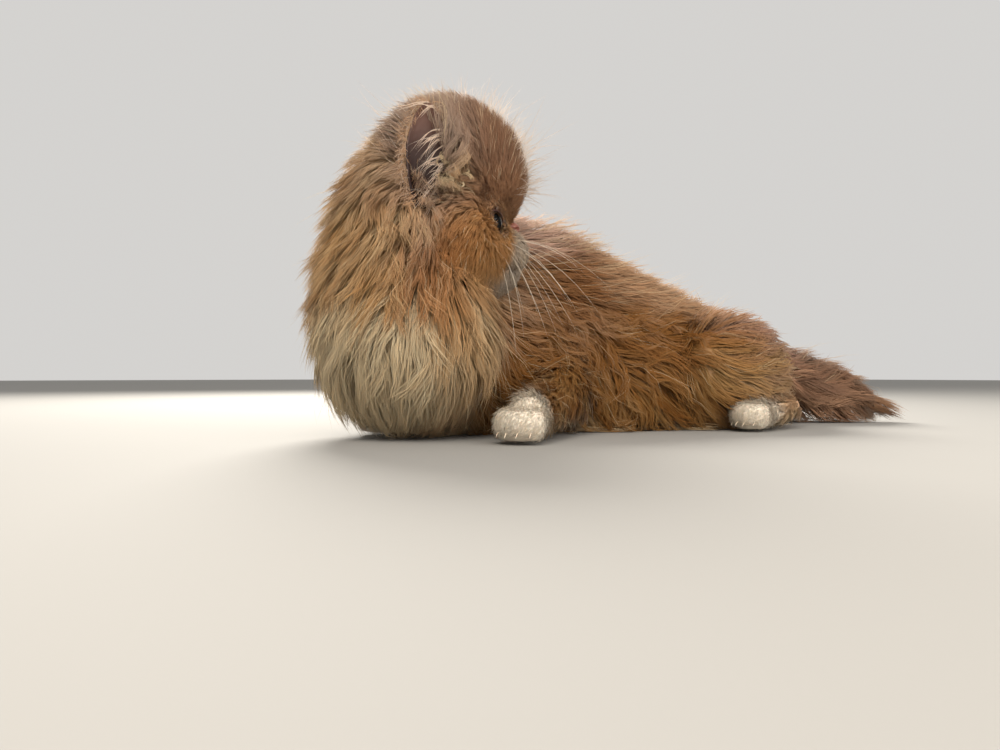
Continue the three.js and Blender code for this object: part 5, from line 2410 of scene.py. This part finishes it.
@dataclass(frozen=True)
class Locks:
    """Wavy locks on top of the long coat, where its hairs cling together."""

    areas: tuple[Fur, ...]
    count: int
    wave: float
    beat: float
    lift: float = 1.5
    each: int = 6
    thick: float = 0.42
    # How far the hairs are paled towards cream, a painted highlight on the locks.
    pale: float = 0.45
    stops: int = 10
    loose: float = 0.75
    zone: tuple[float, float, float, float] | None = None

    def draw(self, random: np.random.Generator, locks: int, low: float, high: float) -> Array:
        """Returns a random value for each lock, the same for all of its hairs."""
        return np.repeat(random.uniform(low, high, (locks, 1)), self.each, axis=0)

    def grow(self, coat: Coat, random: np.random.Generator) -> Strands:
        """Grows the locks along some of the coat's clumps.

        Args:
            coat: The coat, with its clumps grown.
            random: The source of random numbers.

        Returns:
            The locks' hairs.
        """
        kinds = list(Fur)
        able = np.flatnonzero(np.isin(coat.guide_area, [kinds.index(fur) for fur in self.areas]))
        able = able[coat.ups[able, 0, 2] > -0.5]
        if self.zone:
            able = able[
                np.linalg.norm(coat.paths[able, 0] - row(*self.zone[:3]), axis=1) < self.zone[3]
            ]
        chosen = np.repeat(
            random.choice(able, min(self.count, len(able)), replace=False), self.each
        )
        along = np.linspace(0, 1, self.stops)
        path = between(smooth_path(coat.paths[chosen]), along)
        up = unit(between(coat.ups[chosen], along))
        ahead = unit(np.gradient(path, axis=1))
        side = unit(np.cross(up, ahead))
        length = np.linalg.norm(np.diff(path, axis=1), axis=2).sum(axis=1, keepdims=True)
        locks = len(chosen) // self.each
        turn = self.draw(random, locks, 0, 2 * math.pi)
        beat = self.beat * self.draw(random, locks, 0.8, 1.3)
        turn = turn + 2 * math.pi * along * length / beat
        grown = self.wave * self.draw(random, locks, 0.5, 1.3) * along**0.6
        path = path + side * (np.sin(turn) * grown)[:, :, None]
        path = path + up * (np.cos(turn) * grown * 0.5 + self.lift * along**0.5)[:, :, None]
        count = len(chosen)
        ring = random.normal(0, self.loose, (count, 2, 1)) * (1 - 0.65 * along)
        path = path + side * ring[:, 0, :, None] + up * ring[:, 1, :, None] * 0.6
        path = path + random.normal(0, 0.9, (count, 1, 3)) * (along**2)[None, :, None]
        path = resample(path, random.uniform(0.75, 1.0, count))
        path[:, :, 2] = np.maximum(path[:, :, 2], 0.9)
        # The locks are paled towards cream as a painted highlight; each lock also gets its own
        # random tone.
        shade = np.repeat(np.exp(random.normal(0, 0.05, locks)), self.each)[:, None]
        colours = (
            mix(coat.guide_colours[chosen], DYES.cream, self.pale * random.random(count)) * shade
        )
        return Strands(path, np.full(count, self.thick), up, colours, coat.guide_spots[chosen])


def between(rows: Array, along: Array) -> Array:
    """Reads paths at places along them.

    Args:
        rows: Paths by points by three.
        along: Places from 0 to 1, the same for every path.

    Returns:
        Paths with a point at each place.
    """
    places = along * (rows.shape[1] - 1)
    low = np.minimum(places.astype(int), rows.shape[1] - 2)
    rest = (places - low)[None, :, None]
    return rows[:, low] * (1 - rest) + rows[:, low + 1] * rest


def halo_hairs(coat: Coat, random: np.random.Generator, top: float, count: int = 1100) -> Strands:
    """Grows the fine pale hairs that stand up off the head; their paleness is partly painted rim
    light.

    Args:
        coat: The coat, with its clumps grown.
        random: The source of random numbers.
        top: How high the hairs may reach, in millimetres.
        count: How many hairs to grow.

    Returns:
        The hairs.
    """
    kinds = list(Fur)
    local = HEAD.into(coat.paths[:, 0])
    crest = np.isin(coat.guide_area, [kinds.index(fur) for fur in (Fur.CROWN, Fur.BROW)])
    crest &= (np.abs(local[:, 1]) < 16) | (coat.ups[:, 0, 2] > 0.75) | (local[:, 0] < -22)
    able = np.flatnonzero(crest & (local[:, 2] > -6))
    chosen = random.choice(able, count)
    root, normal = coat.paths[chosen, 0], coat.ups[chosen, 0]
    lie = unit(coat.paths[chosen, 3] - root)
    along = np.linspace(0, 1, 5)
    length = np.where(
        random.random(count) < 0.2, random.uniform(18, 36, count), random.uniform(11, 20, count)
    )
    bend = random.normal(0, 0.3, (count, 3))
    way = unit(
        normal * 0.9
        + lie * random.uniform(0.2, 1.0, count)[:, None]
        + random.normal(0, 0.2, (count, 3))
    )
    path = root[:, None] + way[:, None] * (length[:, None] * along)[:, :, None]
    path = path + bend[:, None] * (length[:, None] * along**2)[:, :, None]
    past = np.maximum(path[:, :, 2].max(axis=1) - top, 0)
    path[:, :, 2] -= past[:, None] * along**1.2
    # The hairs are pale partly as painted rim light.
    colours = mix(np.tile(DYES.lash, (count, 1)), DYES.crown, random.random(count) * 0.35)
    return strand_set(path, np.full(count, 0.24), colours, normal, coat.guide_spots[chosen])


def tail_brush(random: np.random.Generator, reach: float, count: int = 700) -> Strands:
    """Grows the long hairs that fan out past the tail's end.

    Args:
        random: The source of random numbers.
        reach: How far along x the hairs may go, in millimetres.
        count: How many hairs to grow.

    Returns:
        The hairs.
    """
    along = np.linspace(0, 1, 6)
    place_at = random.uniform(0.7, 1.0, count)
    tangent = TAIL_LINE.tangent(place_at)
    side = unit(np.cross(UP, tangent))
    over = np.cross(tangent, side)
    turn = random.uniform(0, 2 * math.pi, count)
    out = side * np.cos(turn)[:, None] + over * np.sin(turn)[:, None]
    root = TAIL_LINE.at(place_at) + out * 5.0
    way = unit(tangent + out * random.uniform(-0.1, 0.12, count)[:, None])
    length = random.uniform(24, 42, count)
    path = root[:, None] + way[:, None] * (length[:, None] * along)[:, :, None]
    swing = np.sin(along * 5.0 + turn[:, None] * 3) * 1.4 * along
    path = (
        path
        + np.cross(way, out)[:, None] * swing[:, :, None]
        - UP * (4.0 * along**2)[None, :, None]
    )
    path[:, :, 2] = np.maximum(path[:, :, 2], 1.0)
    past = np.maximum(path[:, -1, 0] - reach, 0)
    path[:, :, 0] -= past[:, None] * along**1.5
    colours = mix(np.tile(DYES.plume, (count, 1)), DYES.nape, random.random(count) * 0.6)
    return strand_set(
        path,
        np.full(count, 0.45),
        colours,
        out,
        np.stack([place_at * 0.1 + 0.8, turn * 0.02], axis=1),
    )


def stray_hairs(
    coat: Coat, random: np.random.Generator, box: Sequence[Vector], count: int = 3000
) -> Strands:
    """Grows single fine hairs that stand off the coat and catch the light round its outline; they
    are paled towards cream as painted rim light.

    Args:
        coat: The coat, with its clumps grown.
        random: The source of random numbers.
        box: The solid model's lowest and highest corners, in metres.
        count: About how many hairs to grow.

    Returns:
        The hairs.
    """
    chosen = random.choice(len(coat.paths), count)
    path = coat.paths[chosen].copy()
    root = path[:, 0]
    index = np.array([coat.tree.find_nearest(point)[2] for point in root.tolist()])
    corner = coat.triangles[index, 0]
    normal = coat.skin.normals[corner]
    along = np.linspace(0, 1, path.shape[1])
    length = np.linalg.norm(path[:, -1] - root, axis=1)
    lift = np.minimum(length * random.uniform(0.1, 0.45, count), 15)
    path += normal[:, None, :] * (lift[:, None] * along**1.5)[:, :, None]
    drift = random.normal(0, 1, (count, 3)) * (length * 0.10)[:, None]
    path += drift[:, None, :] * (along**1.4)[None, :, None]
    path[:, :, 2] = np.maximum(path[:, :, 2], 1.0)
    # Painted rim light: the hairs are paled towards cream.
    colours = mix(markings(root, coat.skin.weights[corner]), DYES.cream, np.full(count, 0.6))
    low, high = (np.array(corner_at) / MM for corner_at in box)
    inside = np.all((path > low - 6) & (path < high + 6), axis=(1, 2)) & (normal[:, 2] > -0.3)
    hairs = strand_set(
        path[:, (0, 3, 5, 7)], np.full(count, 0.22), colours, normal, coat.skin.unwrap[corner]
    )
    return hairs.pick(np.flatnonzero(inside))


@dataclass(frozen=True)
class Studio:
    """The floor, the soft lights and the camera of the photograph."""

    eye: Array = vector(-386.5, -424.9, 40)
    way: Array = vector(0.574, 0.819, 0)
    lens: float = 27.04
    middle: Array = vector(-40, 0, 110)
    room: Array = dye("F1EFEC")
    ground: Array = dye("8F8D89")
    floor_half: float = 6.0

    def floor(self) -> None:
        """Lays a plain pale floor."""
        bm = bmesh.new()
        bmesh.ops.create_grid(bm, x_segments=1, y_segments=1, size=self.floor_half)
        mesh = mesh_from("floor", bm)
        if mesh.polygons[0].normal.z < 0:
            mesh.flip_normals()
        made = Node("pale_floor")
        shader = made.add("ShaderNodeBsdfPrincipled", Base_Color=rgba(self.ground), Roughness=0.9)
        made.add("ShaderNodeOutputMaterial", Surface=shader.outputs["BSDF"])
        floor = bpy.data.objects.new("floor", mesh)
        mesh.materials.append(made.material)
        bpy.context.collection.objects.link(floor)
        floor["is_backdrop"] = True

    def lamp(self, name: str, place_at: Array, power: float, size: float, colour: str) -> None:
        """Hangs a soft round lamp that faces the cat.

        Args:
            name: The lamp's name.
            place_at: Where it hangs, in millimetres.
            power: Its power in watts.
            size: Its width in metres.
            colour: Its colour as sRGB hex.
        """
        data = bpy.data.lights.new(name, "AREA")
        data.shape = "DISK"
        data.size = size
        data.energy = power
        data.color = tuple(linear(colour))
        lamp = bpy.data.objects.new(name, data)
        lamp.location = Vector(place_at * MM)
        way = Vector((self.middle - place_at) * MM)
        lamp.rotation_euler = way.to_track_quat("-Z", "Y").to_euler()
        bpy.context.collection.objects.link(lamp)

    def light(self) -> None:
        """Sets a broad key from above the camera's left, a fill, a rim light and a pale room."""
        self.lamp("key", row(-700, -600, 800), 10.0, 0.8, "FFF6EA")
        self.lamp("fill", row(100, -1000, 350), 9.0, 1.0, "FFF8F0")
        self.lamp("rim", row(200, 900, 900), 44.0, 0.7, "FFFAF2")
        world = bpy.data.worlds.new("room")
        world.use_nodes = True
        room = world.node_tree.nodes["Background"]
        room.inputs["Color"].default_value = rgba(self.room)
        room.inputs["Strength"].default_value = 0.75
        bpy.context.scene.world = world
        bpy.context.scene.view_settings.view_transform = "Standard"

    def camera(self) -> None:
        """Sets the camera where the photograph was taken from."""
        data = bpy.data.cameras.new("camera")
        data.sensor_width = 36.0
        data.lens = self.lens
        data.clip_start = 0.01
        data.dof.use_dof = False
        camera = bpy.data.objects.new("camera", data)
        back = -unit(self.way)
        right = np.cross(UP, back)
        axes = Matrix(np.array([right, UP, back]).T.tolist()).to_4x4()
        camera.matrix_world = Matrix.Translation(Vector(self.eye * MM)) @ axes
        bpy.context.collection.objects.link(camera)
        bpy.context.scene.camera = camera

    def build(self) -> None:
        """Builds the floor, the lights and the camera."""
        self.floor()
        self.light()
        self.camera()


PIECES = {
    "fur_face": (Fur.MUZZLE, Fur.FACE, Fur.BROW),
    "fur_crown": (Fur.CROWN,),
    "fur_cheek": (Fur.CHEEK,),
    "fur_jowl": (Fur.JOWL,),
    "fur_ruff": (Fur.RUFF,),
    "fur_back": (Fur.BACK,),
    "fur_flank": (Fur.FLANK,),
    "fur_thigh": (Fur.THIGH,),
    "fur_tail": (Fur.TAIL,),
    "fur_legs": (Fur.LEG,),
    "fur_paws": (Fur.PAW,),
}
# Which points of a clump's path the tufts keep.
SHORT_STOPS, LONG_STOPS, WAVY_STOPS = (0, 3, 7), (0, 2, 5, 7), (0, 1, 3, 5, 7)
SHORT = (Fur.MUZZLE, Fur.PAW)
WAVY = (Fur.CHEEK,)
PLUSH = (Fur.MUZZLE, Fur.CROWN, Fur.JOWL, Fur.PAW)
# pale is how far each lock is paled towards cream, as a painted highlight.
LOCKS = {
    "locks_mane": Locks(
        (Fur.RUFF,), count=300, wave=2.0, beat=11.0, lift=2.5,
        each=7, thick=0.38, pale=0.35, stops=10,
    ),
    "locks_shoulder": Locks(
        (Fur.BACK,), count=70, wave=2.6, beat=15.0, lift=10.0,
        each=5, thick=0.36, pale=0.5, stops=9, zone=(-36.0, 4.0, 150.0, 32.0),
    ),
    "locks_back": Locks(
        (Fur.BACK, Fur.THIGH), count=220, wave=2.4, beat=18.0, lift=2.0,
        each=4, pale=0.25, stops=8,
    ),
    "locks_flank": Locks(
        (Fur.FLANK,), count=110, wave=4.2, beat=25.0, lift=3.0,
        each=8, thick=0.42, pale=0.15, stops=8, loose=1.2,
    ),
    "locks_curls": Locks(
        (Fur.FLANK, Fur.BACK), count=64, wave=6.0, beat=24.0, lift=5.0,
        each=10, thick=0.42, pale=0.12, stops=10, loose=1.3, zone=(-52.0, -32.0, 50.0, 44.0),
    ),
}
# No piece of the coat has more triangles than this.
MOST = 190_000


def lay_coat(strands: Strands, area: Array, finish: bpy.types.Material) -> None:
    """Makes the coat's pieces, each under the limit of triangles.

    Args:
        strands: All the tufts.
        area: Each tuft's area of fur.
        finish: The fur's material.
    """
    kinds = list(Fur)
    for name, furs in PIECES.items():
        chosen = np.flatnonzero(np.isin(area, [kinds.index(fur) for fur in furs]))
        if not len(chosen):
            continue
        stops = SHORT_STOPS if furs[0] in SHORT else WAVY_STOPS if furs[0] in WAVY else LONG_STOPS
        shading = (0.6, 0.3) if furs[0] in PLUSH else (0.78, 0.16)
        group = strands.pick(chosen).thinned(stops).softened(*shading)
        triangles = len(group.nodes) * ((len(stops) - 2) * 6 + 4)
        parts = math.ceil(triangles / MOST)
        for part in range(parts):
            label = f"{name}_{part + 1}"
            mesh = group.pick(np.arange(part, len(group.nodes), parts)).mesh(label, 50 + part)
            new_object(label, mesh, finish)


def main() -> None:
    """Builds the cat from its skin outwards and sets it in the studio."""
    logging.basicConfig(level=logging.INFO, format="%(name)s: %(message)s")
    solid_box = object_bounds()
    forms = body_forms()
    random = np.random.default_rng(11)
    # Hair: soft strands that glow where the light passes through them.
    hair = FurFinish().material()
    # Skin under the fur: closes the gaps between the tufts in the coat's colours, darkened as
    # painted shade under long fur.
    hide = SkinFinish("cat_skin", painted=True).material()
    # Nose leather: brick brown and slightly moist, the one glossy spot on the muzzle.
    leather = SkinFinish("nose_leather", "8A5546", "6E4034", roughness=0.42, scale=900.0).material()
    # Lid margins: dark wet lines that frame the eyes.
    rim = SkinFinish("lid_margin", "4E3028", "38201A", roughness=0.35, scale=900.0).material()
    # Ear lining: bare skin, warmer towards the tip and darkened low in the hollow as painted shade.
    lining = SkinFinish("ear_skin", roughness=0.6, painted=True).material()
    # Claw horn: pale smooth tips between the toes' fur.
    horn = SkinFinish("claw_horn", "E6D8C4", "CDB79C", roughness=0.3, crease=0.05).material()

    skin = Skin(forms)
    skin.build()
    coat = Coat(skin)
    strands, area = coat.grow()
    LOG.info("coat: %d tufts in %d clumps", len(strands.nodes), len(coat.paths))
    lay_coat(strands, area, hair)
    skin.dress(hide)
    for name, locks in LOCKS.items():
        new_object(name, locks.grow(coat, random).mesh(name, 5), hair)
    brush = tail_brush(random, solid_box[1][0] / MM + 4)
    new_object("fur_tail_brush", brush.mesh("fur_tail_brush", 4), hair)
    halo = halo_hairs(coat, random, solid_box[1][2] / MM + 5)
    new_object("fur_halo", halo.mesh("fur_halo", 6), hair)
    strays = stray_hairs(coat, random, solid_box)
    new_object("fur_strays", strays.mesh("fur_strays", 3), hair)
    for mirror in (1, -1):
        Eye(mirror).build(rim)
        ear = Ear(mirror)
        ear.build(lining)
        for k, hairs in enumerate(ear.hairs(random)):
            name = f"{ear.name}_fur_{k + 1}"
            new_object(name, hairs.mesh(name, 7 + k), hair)
    curls = ear_curls(random).mesh("fur_ear_curls", 12)
    new_object("fur_ear_curls", curls, hair)
    Nose().build(leather)
    new_object("whiskers", Whiskers().grow(random).mesh("whiskers", 9), hair)
    Claws().build(forms, horn)
    Studio().build()


if __name__ == "__main__":
    main()
